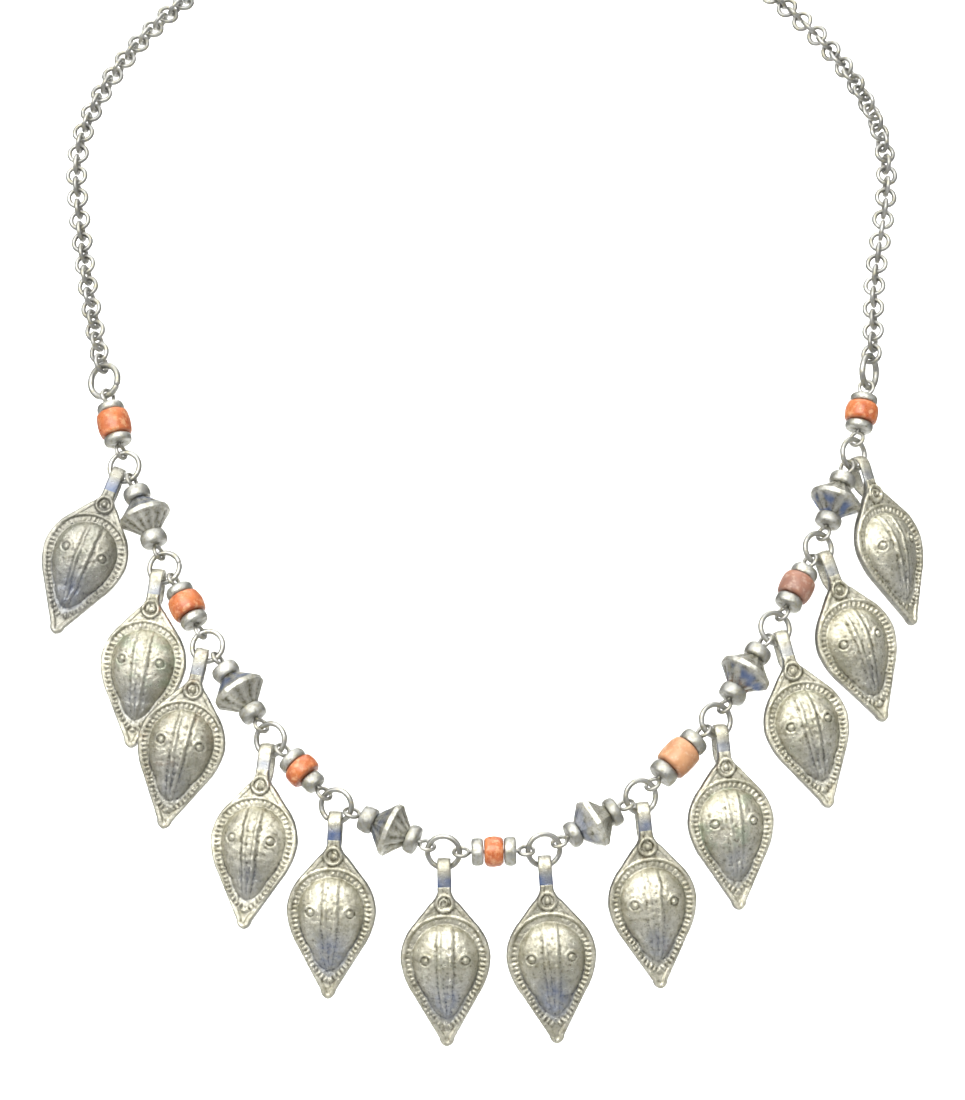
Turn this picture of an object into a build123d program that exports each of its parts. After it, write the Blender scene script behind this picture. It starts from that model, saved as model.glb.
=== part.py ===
from build123d import *
import os
from math import acos, atan2, copysign, cos, degrees, pi, radians, sin, sqrt

# Leaf charm necklace, in millimetres and degrees
# Origin at the nape, +Z up, -Y to the front, +X to the right

# Necklace: ring 6, one of the two lowest, and the reach of the chain round the neck
low_ring_x = -6.0
front_reach = 112.0
front_drop = 150.0
neck_half_width = 71.0

# Clearances between pieces that hang in or on each other
hook_gap = 0.14
bail_gap = 0.36
face_gap = 0.1
bore_gap = 0.1
eye_spread = 69.0

# Jump rings between the links, and the heavier ones at the two ends
ring_outer = 6.05
ring_wire = 0.9
end_ring_outer = 6.6
end_ring_wire = 1.08

# Pins: a wire with an eye at both ends, turned about the wire so that its hole shows
eye_outer = 3.0
eye_turn = 20.0
pin_wire = 0.66

# Beads and the small discs beside them
coral_length = 3.7
coral_diameter = 5.3
coral_bulge = 0.28
cap_thickness = 1.7
cap_diameter = 4.7
cap_rounding = 0.5
bicone_length = 5.8
bicone_diameter = 8.8
bicone_end_diameter = 3.4
bicone_edge = 0.7
flute_count = 12
flute_width = 1.5
flute_depth = 0.34
facet_count = 6
spacer_thickness = 2.1
spacer_diameter = 4.6

# Leaf charm: drops and tops are measured down and up from the centre of its roundel
leaf_width = 14.4
leaf_drop = 23.1
leaf_plate = 1.0
neck_rise = 1.8
rim_width = 0.45
rim_height = 0.22
bar_pitch = 0.74
bar_width = 0.36
bar_length = 0.8
bar_outset = 0.42
bar_height = 0.2
dome_width = 10.9
dome_rise = 2.5
dome_top = 3.3
dome_bottom = 19.6
dome_wall = 0.8
relief = 0.24
rib_width = 0.4
rib_spread = 1.9
rib_foot_spread = 0.19
rib_foot_drop = 18.6
boss_spread = 6.5
boss_drop = 8.9
boss_diameter = 1.3
boss_ring_outer = 2.3
boss_ring_width = 0.34
roundel_outer = 3.1
roundel_width = 0.5
roundel_height = 0.45
roundel_dot = 1.0
brow_radius = 7.0
brow_drop = 1.85
brow_foot_drop = 5.6
brow_height = 0.24
brow_width = 0.5
strap_width = 2.2
strap_thickness = 0.55
bail_top = 7.0
bail_room = 2.6
bail_knee = 1.9
bail_foot_drop = 1.6

# Chain: round links, with this much play in each, and the slow twist between its two ends
link_wire = 0.82
link_play = 0.6
chain_twist = 180.0

# Clasp: an S hook, with one loop for each end of the chain
clasp_loop = 3.8
clasp_wire = 1.05
clasp_mouth = 50.0

# Links of the string from ring 0 to ring 13. Heading is the slope seen from the front, lean that to the back.
# The rest are shares of the sizes above, for the bead and for its two caps.
CORAL, FLUTED, FACETED = "coral", "fluted", "faceted"
LINKS = [
    # kind, heading, lean, length, girth, cap 1 thickness and diameter, cap 2 thickness and diameter
    (CORAL, -73, -30, 1.16, 1.08, 0.86, 0.98, 0.86, 1.02),
    (FLUTED, -65, -31, 1.08, 0.99, 1.05, 1.02, 1.10, 1.00),
    (CORAL, -58, -31, 1.00, 1.12, 1.00, 1.00, 1.02, 1.00),
    (FLUTED, -52, -29, 1.05, 1.00, 1.05, 1.00, 1.05, 0.98),
    (CORAL, -41, -26, 0.76, 1.07, 1.00, 1.04, 1.32, 0.80),
    (FLUTED, -20, -15, 0.95, 1.00, 1.18, 0.96, 0.90, 1.04),
    (CORAL, 1, 1, 0.82, 0.94, 1.14, 0.98, 1.14, 1.01),
    (FACETED, 25, 18, 0.94, 1.03, 0.84, 0.96, 0.84, 1.05),
    (CORAL, 41, 26, 1.30, 1.10, 1.28, 1.02, 1.26, 1.03),
    (FLUTED, 53, 30, 1.03, 1.00, 1.02, 1.02, 1.02, 1.00),
    (CORAL, 57, 32, 1.05, 1.10, 1.08, 1.00, 1.08, 1.00),
    (FLUTED, 66, 31, 0.98, 1.00, 0.94, 1.00, 0.94, 1.00),
    (CORAL, 76, 29, 0.90, 1.08, 0.86, 1.02, 0.84, 1.00),
]

# How far each ring's face turns to the right, ring 0 first
RING_TURNS = [-20, -2, 2, 8, -10, -2, 2, 2, 2, 4, 3, 14, 30, 55]

# Leaves: tilt of the tip to the left, turn of the face to the right, lean of the tip to the front
LEAVES = [
    # tilt, turn, lean
    (20.0, -4.0, 18.0),
    (6, -7, 18),
    (12, -2, 14),
    (3, -11, 20),
    (2, -3, 8),
    (-1, 0, 7),
    (-4, 1, 7),
    (-5, 6, 8),
    (-3, 11, 14),
    (-12, 12, 16),
    (-14.6, 20.0, 14.0),
    (-7.0, 36.0, 17.0),
]

# Edge of the plaque's right half from neck to tip, as shares of half its width and of its drop
LEAF_EDGE = {
    # name: out, up
    "neck": (0.205, 0.035),
    "neck_end": (0.330, -0.010),
    "shoulder": (0.665, -0.138),
    "upper": (0.905, -0.252),
    "widest": (1.000, -0.385),
    "lower": (0.925, -0.510),
    "flank": (0.715, -0.645),
    "tip_start": (0.170, -0.940),
    "tip": (0.102, -0.985),
}

# Edge of the dome from crown to foot, as shares of half its width and of its length
DOME_EDGE = {
    # name: out, down
    "crown": (0.80, 0.135),
    "widest": (1.00, 0.360),
    "taper": (0.60, 0.730),
    "foot": (0.25, 0.930),
}

# Chosen points of the chain from an end ring to the nape, as shares of half width, reach and drop
CHAIN_ROUTE = [
    # side, front, down
    (0.950, 0.505, 0.449),
    (0.983, 0.441, 0.360),
    (0.992, 0.395, 0.292),
    (0.945, 0.340, 0.226),
    (0.860, 0.277, 0.167),
    (0.690, 0.178, 0.093),
    (0.490, 0.082, 0.038),
    (0.285, 0.022, 0.009),
]

FIRST_END, LAST_END = 0, len(LINKS)
LOW_RING = 6
UP = Vector(0, 0, 1)


def direction(heading, lean):
    """The unit vector with this slope seen from the front and this slope to the back."""
    h, l = radians(heading), radians(lean)
    return Vector(cos(l) * cos(h), sin(l), cos(l) * sin(h))


def flattened(vector, normal):
    """The unit vector that is left of a vector on the plane with this unit normal."""
    return (vector - normal * vector.dot(normal)).normalized()


def turned(vector, normal, angle):
    """A vector turned about a unit normal that it is square to."""
    a = radians(angle)
    return vector * cos(a) + normal.cross(vector) * sin(a)


# Sizes that follow from those above

eye_mean = (eye_outer - pin_wire) / 2
link_inside = 2 * link_wire + link_play
link_mean = (link_inside + link_wire) / 2
link_pitch = (link_inside / 2 + link_wire + link_inside) / 2
clasp_mean = (clasp_loop + clasp_wire) / 2
clasp_centre = clasp_mean * 2
strap_half = strap_width / 2
dome_half = dome_width / 2
dome_depth = dome_rise + leaf_plate
bail_inner_radius = bail_room / 2
bail_outer_radius = bail_inner_radius + strap_thickness
bail_centre_y = bail_inner_radius + strap_thickness - leaf_plate
bail_centre_z = bail_top - bail_outer_radius


def ring_sizes(index):
    """Mean radius and wire of a jump ring."""
    if index in (FIRST_END, LAST_END):
        return (end_ring_outer - end_ring_wire) / 2, end_ring_wire
    return (ring_outer - ring_wire) / 2, ring_wire


def reach_in_ring(index):
    """How far from a ring's centre the middle of a pin's wire lies that hangs in it."""
    mean, thickness = ring_sizes(index)
    return mean - thickness / 2 - pin_wire / 2 - hook_gap


def first_link_reach(mean, thickness):
    """How far the chain's first link lies from the centre of its loop, with even gaps both sides."""
    gap = (link_pitch - link_wire - thickness) / 2
    return mean - thickness / 2 - gap - link_wire / 2 + link_mean


# The string of rings and pins

pin_ways = [direction(row[1], row[2]) for row in LINKS]


def leaf_rotation(index):
    """How leaf number index, from 0, is turned: leant, then turned to the side, then tilted."""
    tilt, turn, lean = LEAVES[index]
    tilted = Location((0, 0, 0), (0, tilt, 0))
    return tilted * Location((0, 0, 0), (0, 0, turn)) * Location((0, 0, 0), (-lean, 0, 0))


def down_of(rotation):
    """Where the tip of a leaf with this rotation points."""
    return (rotation * Location((0, 0, -1))).position


def ring_normal(index):
    """The unit vector square to a ring, which holds the string and faces the front."""
    before = pin_ways[max(index - 1, 0)]
    after = pin_ways[min(index, len(pin_ways) - 1)]
    turn = radians(RING_TURNS[index])
    return flattened(Vector(sin(turn), -cos(turn), 0), (before + after).normalized())


def angle_between(first, second, normal):
    """The angle from one vector to another, seen against a unit normal that both are square to."""
    return degrees(atan2(normal.dot(first.cross(second)), first.dot(second)))


def parted(way, hanging, normal, share):
    """The way of an eye in its ring, moved aside from the bail by this share of the angle that it lacks."""
    angle = angle_between(hanging, way, normal)
    lack = max(eye_spread - abs(angle), 0)
    return turned(way, normal, copysign(lack * share, angle))


def ring_ways(index):
    """The ways from a ring's centre to the eye before it, the eye after it and its bail."""
    normal = ring_normal(index)
    before = flattened(pin_ways[max(index - 1, 0)] * -1, normal)
    after = flattened(pin_ways[min(index, len(pin_ways) - 1)], normal)
    if index in (FIRST_END, LAST_END):
        return before, after, None
    hanging = flattened(down_of(leaf_rotation(index - 1)), normal)
    nearer = min(before, after, key=lambda way: abs(angle_between(hanging, way, normal)))
    hanging = parted(hanging, nearer, normal, 0.5)
    return parted(before, hanging, normal, 1), parted(after, hanging, normal, 1), hanging


def bead_sizes(index):
    """Length and diameter of a pin's bead, then thickness and diameter of its two caps."""
    kind, _, _, length, girth, *caps = LINKS[index]
    if kind == CORAL:
        base, thickness, diameter = (coral_length, coral_diameter), cap_thickness, cap_diameter
    else:
        base, thickness, diameter = (bicone_length, bicone_diameter), spacer_thickness, spacer_diameter
    cap_sizes = [(caps[0] * thickness, caps[1] * diameter), (caps[2] * thickness, caps[3] * diameter)]
    return base[0] * length, base[1] * girth, cap_sizes


def stack_length(index):
    """Length of a pin's bead and caps, with the gaps between them."""
    length, _, caps = bead_sizes(index)
    return length + caps[0][0] + caps[1][0] + 2 * face_gap


def pin_span(index):
    """Distance between the wires at the far ends of a pin's two eyes."""
    return stack_length(index) + 2 * (2 * eye_mean + pin_wire / 2 + face_gap)


def ring_centres():
    """Centres of all the rings, worked out link by link from the low ring to both ends."""
    centres = {LOW_RING: Vector(low_ring_x, -front_reach, -front_drop)}
    for i in range(LOW_RING, LAST_END):
        start = centres[i] + ring_ways(i)[1] * reach_in_ring(i)
        end = start + pin_ways[i] * pin_span(i)
        centres[i + 1] = end - ring_ways(i + 1)[0] * reach_in_ring(i + 1)
    for i in range(LOW_RING, FIRST_END, -1):
        end = centres[i] + ring_ways(i)[0] * reach_in_ring(i)
        start = end - pin_ways[i - 1] * pin_span(i - 1)
        centres[i - 1] = start - ring_ways(i - 1)[1] * reach_in_ring(i - 1)
    return [centres[i] for i in range(LAST_END + 1)]


CENTRES = ring_centres()


def make_ring(index):
    mean, thickness = ring_sizes(index)
    with BuildPart(Plane(origin=CENTRES[index], z_dir=ring_normal(index))) as ring:
        Torus(mean, thickness / 2)
    return ring.part


def pin_start(index):
    """The middle of the wire at the first end of a pin."""
    return CENTRES[index] + ring_ways(index)[1] * reach_in_ring(index)


def eye_normal(ring, way):
    """The unit vector square to the eye, on a pin of this way, that holds a ring."""
    return turned(ring_normal(ring).cross(way).normalized(), way, eye_turn)


def make_pin(index):
    way = pin_ways[index]
    first = pin_start(index) + way * eye_mean
    last = pin_start(index) + way * (pin_span(index) - eye_mean)
    middle = (first + last) * 0.5
    shank = (last - first).length - 2 * eye_mean
    with BuildPart() as pin:
        with Locations(Plane(origin=middle, z_dir=way)):
            Cylinder(pin_wire / 2, shank)
        with Locations(Plane(origin=first, z_dir=eye_normal(index, way)),
                       Plane(origin=last, z_dir=eye_normal(index + 1, way))):
            Torus(eye_mean, pin_wire / 2)
    return pin.part


# Beads and caps, made along Z and then set on their pin

bore_radius = pin_wire / 2 + bore_gap


def make_coral(length, diameter):
    """A barrel with softly bulging sides."""
    end_radius = diameter / 2 - coral_bulge
    with BuildPart() as coral:
        with BuildSketch(Plane.XZ):
            with BuildLine():
                Polyline((end_radius, -length / 2), (bore_radius, -length / 2),
                         (bore_radius, length / 2), (end_radius, length / 2))
                ThreePointArc((end_radius, length / 2), (diameter / 2, 0), (end_radius, -length / 2))
            make_face()
        revolve(axis=Axis.Z)
    return coral.part


def make_cap(thickness, diameter):
    """A disc with a rounded rim."""
    flat_radius = diameter / 2 - cap_rounding
    with BuildPart() as cap:
        with BuildSketch(Plane.XZ):
            with BuildLine():
                Polyline((flat_radius, -thickness / 2), (bore_radius, -thickness / 2),
                         (bore_radius, thickness / 2), (flat_radius, thickness / 2))
                ThreePointArc((flat_radius, thickness / 2), (diameter / 2, 0), (flat_radius, -thickness / 2))
            make_face()
        revolve(axis=Axis.Z)
    return cap.part


def flute_planes(length, radius):
    """Planes square to the flutes of both cones, each at the middle of its flute."""
    end_radius = bicone_end_diameter / 2
    rise = (length - bicone_edge) / 2
    slant = atan2(rise, radius - end_radius)
    stand_off = flute_width / 2 - flute_depth
    mid_radius = (radius + end_radius) / 2 + stand_off * sin(slant)
    mid_height = (length + bicone_edge) / 4 + stand_off * cos(slant)
    planes = []
    for k in range(flute_count):
        a = 2 * pi * k / flute_count
        out = Vector(cos(a), sin(a), 0)
        for side in (1, -1):
            planes.append(Plane(origin=out * mid_radius + UP * (side * mid_height),
                                z_dir=out * cos(slant) - UP * (side * sin(slant))))
    return planes


def make_fluted(length, diameter):
    """Two cones base to base, with flutes down both."""
    radius = diameter / 2
    end_radius = bicone_end_diameter / 2
    with BuildPart() as bead:
        with BuildSketch(Plane.XZ):
            with BuildLine():
                Polyline((radius, bicone_edge / 2), (end_radius, length / 2), (bore_radius, length / 2),
                         (bore_radius, -length / 2), (end_radius, -length / 2), (radius, -bicone_edge / 2))
                Line((radius, -bicone_edge / 2), (radius, bicone_edge / 2))
            make_face()
        revolve(axis=Axis.Z)
        with Locations(*flute_planes(length, radius)):
            Cylinder(flute_width / 2, diameter, mode=Mode.SUBTRACT)
    return bead.part


def make_faceted(length, diameter):
    """Two pyramids base to base."""
    with BuildPart() as bead:
        for height, across in ((-length, bicone_end_diameter), (-bicone_edge, diameter)):
            with BuildSketch(Plane.XY.offset(height / 2)):
                RegularPolygon(across / 2, facet_count)
        loft()
        with BuildSketch(Plane.XY.offset(-bicone_edge / 2)):
            RegularPolygon(diameter / 2, facet_count)
        extrude(amount=bicone_edge)
        for height, across in ((bicone_edge, diameter), (length, bicone_end_diameter)):
            with BuildSketch(Plane.XY.offset(height / 2)):
                RegularPolygon(across / 2, facet_count)
        loft()
        Cylinder(bore_radius, length, mode=Mode.SUBTRACT)
    return bead.part


BEAD_MAKERS = {CORAL: make_coral, FLUTED: make_fluted, FACETED: make_faceted}


def on_pin(part, index, distance):
    """A part set on a pin, with its middle this far from the start of the bead's stack."""
    stack_start = 2 * eye_mean + pin_wire / 2 + face_gap
    origin = pin_start(index) + pin_ways[index] * (stack_start + distance)
    plane = Plane(origin=origin, x_dir=flattened(ring_normal(index), pin_ways[index]), z_dir=pin_ways[index])
    return part.moved(plane.location)


def make_bead(index):
    length, diameter, caps = bead_sizes(index)
    bead = BEAD_MAKERS[LINKS[index][0]](length, diameter)
    return on_pin(bead, index, caps[0][0] + face_gap + length / 2)


def make_caps(index):
    """The two caps of a pin."""
    caps = bead_sizes(index)[2]
    middles = (caps[0][0] / 2, stack_length(index) - caps[1][0] / 2)
    return [on_pin(make_cap(*size), index, middle) for size, middle in zip(caps, middles)]


# The leaf charm, made once: its roundel's centre at the origin, its front to -Y, its plate's back at y = 0

half_leaf = leaf_width / 2


def leaf_outline():
    """The plaque seen from the front: its right half from neck to tip, and the same mirrored."""
    edge = {name: (out * half_leaf, up * leaf_drop) for name, (out, up) in LEAF_EDGE.items()}
    with BuildSketch(Plane.XZ) as outline:
        with BuildLine():
            ThreePointArc((strap_half, neck_rise), edge["neck"], edge["neck_end"])
            Line(edge["neck_end"], edge["shoulder"])
            ThreePointArc(edge["shoulder"], edge["upper"], edge["widest"])
            ThreePointArc(edge["widest"], edge["lower"], edge["flank"])
            Line(edge["flank"], edge["tip_start"])
            ThreePointArc(edge["tip_start"], edge["tip"], (0, -leaf_drop))
            Line((0, -leaf_drop), (0, neck_rise))
            Line((0, neck_rise), (strap_half, neck_rise))
        make_face()
        mirror(about=Plane.YZ)
    return outline.sketch


def draw_dome_edge(half_width, top, bottom):
    """Draws the right edge of a teardrop from its crown to its foot."""
    edge = {name: (out * half_width, top - down * (top - bottom)) for name, (out, down) in DOME_EDGE.items()}
    crown = TangentArc((0, top), edge["crown"], tangent=(1, 0))
    flank = TangentArc(edge["crown"], edge["widest"], tangent=crown % 1)
    TangentArc(edge["widest"], edge["taper"], tangent=flank % 1)
    ThreePointArc(edge["taper"], edge["foot"], (0, bottom))


def dome_form(half_width, depth, top, bottom):
    """A solid teardrop, round in front and behind, as wide and deep as given, between two heights."""
    with BuildPart() as form:
        with BuildSketch(Plane.XZ):
            with BuildLine():
                draw_dome_edge(half_width, top, bottom)
                Line((0, bottom), (0, top))
            make_face()
        revolve(axis=Axis.Z)
    return scale(form.part, by=(1, depth / half_width, 1))


def bar_places():
    """Places of the small bars in the border, at even steps along the dome's edge and set out from it."""
    with BuildLine() as edge:
        draw_dome_edge(dome_half, -dome_top, -dome_bottom)
    wire = edge.wire()
    count = round(wire.length / bar_pitch)
    places = []
    for k in range(count):
        share = (k + 0.5) / count
        way = wire % share
        outward = Vector(-way.Y, way.X)
        point = wire @ share + outward * bar_outset
        angle = degrees(atan2(outward.Y, outward.X))
        if point.X > bar_width:
            places.append(Location((point.X, point.Y, 0), (0, 0, angle)))
            places.append(Location((-point.X, point.Y, 0), (0, 0, -angle)))
    return places


def relief_form():
    """The double midrib and the rings of the two bosses, cut from a dome that stands a little prouder."""
    spread, foot_spread = rib_spread / 2, rib_foot_spread / 2
    prouder = dome_form(dome_half + relief / 2, dome_depth + relief, -dome_top, -dome_bottom)
    with BuildPart() as form:
        with BuildSketch(Plane.XZ):
            for side in (1, -1):
                with BuildLine():
                    Polyline((side * (spread + rib_width), -dome_top), (side * spread, -dome_top),
                             (side * foot_spread, -rib_foot_drop),
                             (side * (foot_spread + rib_width), -rib_foot_drop), close=True)
                make_face()
            with Locations((boss_spread / 2, -boss_drop), (-boss_spread / 2, -boss_drop)):
                Circle(boss_ring_outer / 2)
                Circle(boss_ring_outer / 2 - boss_ring_width, mode=Mode.SUBTRACT)
        extrude(amount=dome_depth + relief)
        add(prouder, mode=Mode.INTERSECT)
    return form.part


def bail_form():
    """The strap, bent over to the back and soldered down behind the roundel."""
    front, back = -leaf_plate, bail_centre_y + bail_outer_radius
    inner_front, inner_back = front + strap_thickness, back - strap_thickness
    with BuildPart() as bail:
        with BuildSketch(Plane.YZ.offset(-strap_half)):
            with BuildLine():
                Polyline((back, bail_centre_z), (back, bail_knee), (0, -bail_foot_drop),
                         (front, -strap_thickness), (front, bail_centre_z))
                ThreePointArc((front, bail_centre_z), (bail_centre_y, bail_top), (back, bail_centre_z))
            make_face()
            with BuildLine():
                Polyline((inner_back, bail_centre_z), (inner_back, bail_knee + strap_thickness / 2),
                         (0, -strap_thickness / 2), (0, neck_rise),
                         (inner_front, neck_rise - 2 * inner_front), (inner_front, bail_centre_z))
                ThreePointArc((inner_front, bail_centre_z), (bail_centre_y, bail_top - strap_thickness),
                              (inner_back, bail_centre_z))
            make_face(mode=Mode.SUBTRACT)
        extrude(amount=strap_width)
    return bail.part


def make_leaf():
    outline = leaf_outline()
    bars = bar_places()
    dome = dome_form(dome_half, dome_depth, -dome_top, -dome_bottom)
    hollow = dome_form(dome_half - dome_wall, dome_depth - dome_wall, -dome_top - dome_wall,
                       -dome_bottom + dome_wall)
    raised = relief_form()
    bail = bail_form()
    boss_y = -dome_depth * sqrt(1 - (boss_spread / dome_width) ** 2)
    with BuildPart() as leaf:
        extrude(outline, amount=leaf_plate)
        with BuildSketch(Plane.XZ.offset(leaf_plate)):
            add(outline.face())
            offset(amount=-rim_width, mode=Mode.SUBTRACT)
        extrude(amount=rim_height)
        with BuildSketch(Plane.XZ.offset(leaf_plate)):
            with Locations(*bars):
                Rectangle(bar_length, bar_width)
        extrude(amount=bar_height)
        with BuildSketch(Plane.XZ.offset(leaf_plate)):
            with Locations((0, -brow_drop - brow_radius)):
                Circle(brow_radius)
                Circle(brow_radius - brow_width, mode=Mode.SUBTRACT)
            with Locations((0, -brow_foot_drop / 2)):
                Rectangle(leaf_width, brow_foot_drop, mode=Mode.INTERSECT)
            add(outline.face(), mode=Mode.INTERSECT)
        extrude(amount=brow_height)
        with BuildSketch(Plane.XZ.offset(leaf_plate)):
            Circle(roundel_outer / 2)
            Circle(roundel_outer / 2 - roundel_width, mode=Mode.SUBTRACT)
            Circle(roundel_dot / 2)
        extrude(amount=roundel_height)
        add(dome)
        split(bisect_by=Plane.XZ, keep=Keep.TOP)
        add(raised)
        with Locations((boss_spread / 2, boss_y, -boss_drop), (-boss_spread / 2, boss_y, -boss_drop)):
            Sphere(boss_diameter / 2)
        add(bail)
        add(hollow, mode=Mode.SUBTRACT)
    return leaf.part


def bearing_point(index):
    """The middle of the ring's wire under the bail, in the leaf's frame: lower where the wire runs askew."""
    ring = index + 1
    mean, thickness = ring_sizes(ring)
    free = bail_inner_radius - thickness / 2 - bail_gap
    way = ring_normal(ring).cross(ring_ways(ring)[2])
    along = (leaf_rotation(index).inverse() * Location(way)).position
    aside = strap_half * abs(along.Y / along.X)
    hole = mean - thickness / 2
    off_centre = hole * sin(atan2(abs(along.Z), abs(along.X)))
    bend = sqrt(hole**2 - off_centre**2) - sqrt(hole**2 - (off_centre + strap_half) ** 2)
    return Vector(0, bail_centre_y, bail_centre_z + sqrt(free**2 - aside**2) - bend)


def hang_leaf(leaf, index):
    """A copy of the leaf on ring number index + 1, turned as its row says."""
    ring = index + 1
    bearing = CENTRES[ring] + ring_ways(ring)[2] * ring_sizes(ring)[0]
    return leaf.moved(Location(bearing) * leaf_rotation(index) * Location(bearing_point(index) * -1))


# The chain and the clasp


def chain_line(side):
    """The route of one half of the chain, from its end ring to the clasp: side is -1 for the left."""
    index = FIRST_END if side < 0 else LAST_END
    points = [Vector(side * x * neck_half_width, -y * front_reach, -z * front_drop)
              for x, y, z in CHAIN_ROUTE]
    way = flattened(points[0] - CENTRES[index], ring_normal(index))
    start = CENTRES[index] + way * first_link_reach(*ring_sizes(index))
    end = Vector(side * (clasp_centre + first_link_reach(clasp_mean, clasp_wire)), 0, 0)
    with BuildLine() as line:
        Spline(start, *points, end, tangents=(way, Vector(-side, 0, 0)))
    return line.edge(), ring_normal(index).cross(way)


def link_planes(side):
    """A plane for each link: each is square to the one before, and all turn slowly along the chain."""
    line, first_normal = chain_line(side)
    count = round(line.length / link_pitch) + 1
    neck_middle = Vector(0, -front_reach / 2, 0)
    ways = [line % (k / (count - 1)) for k in range(count)]
    inner_ways = [flattened(neck_middle - (line @ (k / (count - 1))), way) for k, way in enumerate(ways)]
    start_roll = angle_between(inner_ways[0], first_normal, ways[0])
    end_roll = angle_between(inner_ways[-1], UP, ways[-1])
    drift = (end_roll - start_roll - 90 * (count - 1) + 90) % 180 - 90 + chain_twist
    planes = []
    for k in range(count):
        share = k / (count - 1)
        normal = turned(inner_ways[k], ways[k], start_roll + 90 * k + drift * share)
        planes.append(Plane(origin=line @ share, z_dir=normal))
    return planes


def make_chain(side):
    with BuildPart() as link:
        Torus(link_mean, link_wire / 2)
    return Compound(children=[link.part.moved(plane.location) for plane in link_planes(side)])


def make_clasp():
    """An S lying along X, with round ends."""
    mouth = radians(clasp_mouth)
    leaving = acos(clasp_mean / clasp_centre)
    open_end = Vector(-clasp_centre + clasp_mean * cos(mouth), 0, clasp_mean * sin(mouth))
    far = Vector(-clasp_centre - clasp_mean, 0, 0)
    near = Vector(-clasp_centre + clasp_mean * cos(leaving), 0, -clasp_mean * sin(leaving))
    with BuildPart() as clasp:
        with BuildLine() as path:
            ThreePointArc(open_end, far, near)
            Line(near, near * -1)
            ThreePointArc(near * -1, far * -1, open_end * -1)
        with BuildSketch(Plane(origin=path.wire() @ 0, z_dir=path.wire() % 0)):
            Circle(clasp_wire / 2)
        sweep()
        with Locations(open_end, open_end * -1):
            Sphere(clasp_wire / 2)
    return clasp.part


# Writing the pieces

def write(piece, name):
    piece.label = name
    export_step(piece, f"parts/{name}.step")


os.makedirs("parts", exist_ok=True)

leaf = make_leaf()
for k in range(len(LEAVES)):
    write(hang_leaf(leaf, k), f"leaf_{k + 1:02d}")

for k in range(LAST_END + 1):
    write(make_ring(k), f"ring_{k:02d}")

coral_caps = []
bicone_spacers = []
coral_number = 0
bicone_number = 0
for k, row in enumerate(LINKS):
    write(make_pin(k), f"pin_{k + 1:02d}")
    if row[0] == CORAL:
        coral_number += 1
        write(make_bead(k), f"coral_{coral_number:02d}")
        coral_caps += make_caps(k)
    else:
        bicone_number += 1
        write(make_bead(k), f"bicone_{bicone_number:02d}")
        bicone_spacers += make_caps(k)
write(Compound(children=coral_caps), "coral_caps")
write(Compound(children=bicone_spacers), "bicone_spacers")

write(make_chain(-1), "chain_left")
write(make_chain(1), "chain_right")
write(make_clasp(), "clasp")
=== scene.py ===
from collections import namedtuple
from math import acos, atan2, copysign, cos, degrees, pi, radians, sin, sqrt

import bmesh
import bpy
import numpy as np
from mathutils import Matrix, Vector, noise


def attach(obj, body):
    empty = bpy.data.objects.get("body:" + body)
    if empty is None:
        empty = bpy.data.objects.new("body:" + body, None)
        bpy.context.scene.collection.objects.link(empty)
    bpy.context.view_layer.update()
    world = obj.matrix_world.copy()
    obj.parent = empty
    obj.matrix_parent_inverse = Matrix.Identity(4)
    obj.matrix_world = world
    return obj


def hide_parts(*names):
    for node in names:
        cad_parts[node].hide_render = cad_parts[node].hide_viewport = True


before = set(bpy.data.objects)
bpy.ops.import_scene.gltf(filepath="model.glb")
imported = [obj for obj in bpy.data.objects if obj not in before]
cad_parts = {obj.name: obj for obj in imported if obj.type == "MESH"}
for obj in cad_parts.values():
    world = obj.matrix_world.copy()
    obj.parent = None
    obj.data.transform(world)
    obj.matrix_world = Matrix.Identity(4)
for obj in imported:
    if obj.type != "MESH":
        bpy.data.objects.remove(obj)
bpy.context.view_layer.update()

# Leaf charm necklace. Sizes are in millimetres and become metres where a mesh or a light is made.
MM = 0.001

# Sizes shared with the solids
LOW_RING_PLACE = (-6.0, -112.0, -150.0)
HOOK_GAP, BAIL_GAP, FACE_GAP, BORE_GAP = 0.14, 0.36, 0.1, 0.1
EYE_SPREAD = 69.0
RING_OUTER, RING_WIRE = 6.05, 0.9
END_RING_OUTER, END_RING_WIRE = 6.6, 1.08
EYE_OUTER, PIN_WIRE, EYE_TURN = 3.0, 0.66, 20.0
CORAL_LENGTH, CORAL_DIAMETER, CORAL_BULGE = 3.7, 5.3, 0.28
CAP_THICKNESS, CAP_DIAMETER, CAP_ROUNDING = 1.7, 4.7, 0.5
BICONE_LENGTH, BICONE_DIAMETER, BICONE_END, BICONE_EDGE = 5.8, 8.8, 3.4, 0.7
SPACER_THICKNESS, SPACER_DIAMETER = 2.1, 4.6
LEAF_WIDTH, LEAF_DROP, LEAF_PLATE, NECK_RISE = 14.4, 23.1, 1.0, 1.8
DOME_WIDTH, DOME_RISE, DOME_TOP, DOME_BOTTOM, DOME_WALL = 10.9, 2.5, 3.3, 19.6, 0.8
RIB_SPREAD, RIB_FOOT_SPREAD, RIB_FOOT_DROP = 1.9, 0.35, 18.6
BOSS_SPREAD, BOSS_DROP, BOSS_DIAMETER, BOSS_RING_OUTER = 6.5, 8.9, 1.3, 2.3
ROUNDEL_OUTER, ROUNDEL_WIDTH, ROUNDEL_DOT = 3.1, 0.5, 1.0
BROW_RADIUS, BROW_DROP, BROW_WIDTH, BROW_FOOT = 7.0, 1.85, 0.5, 5.6
BAR_PITCH, BAR_OUTSET = 0.74, 0.42
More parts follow.
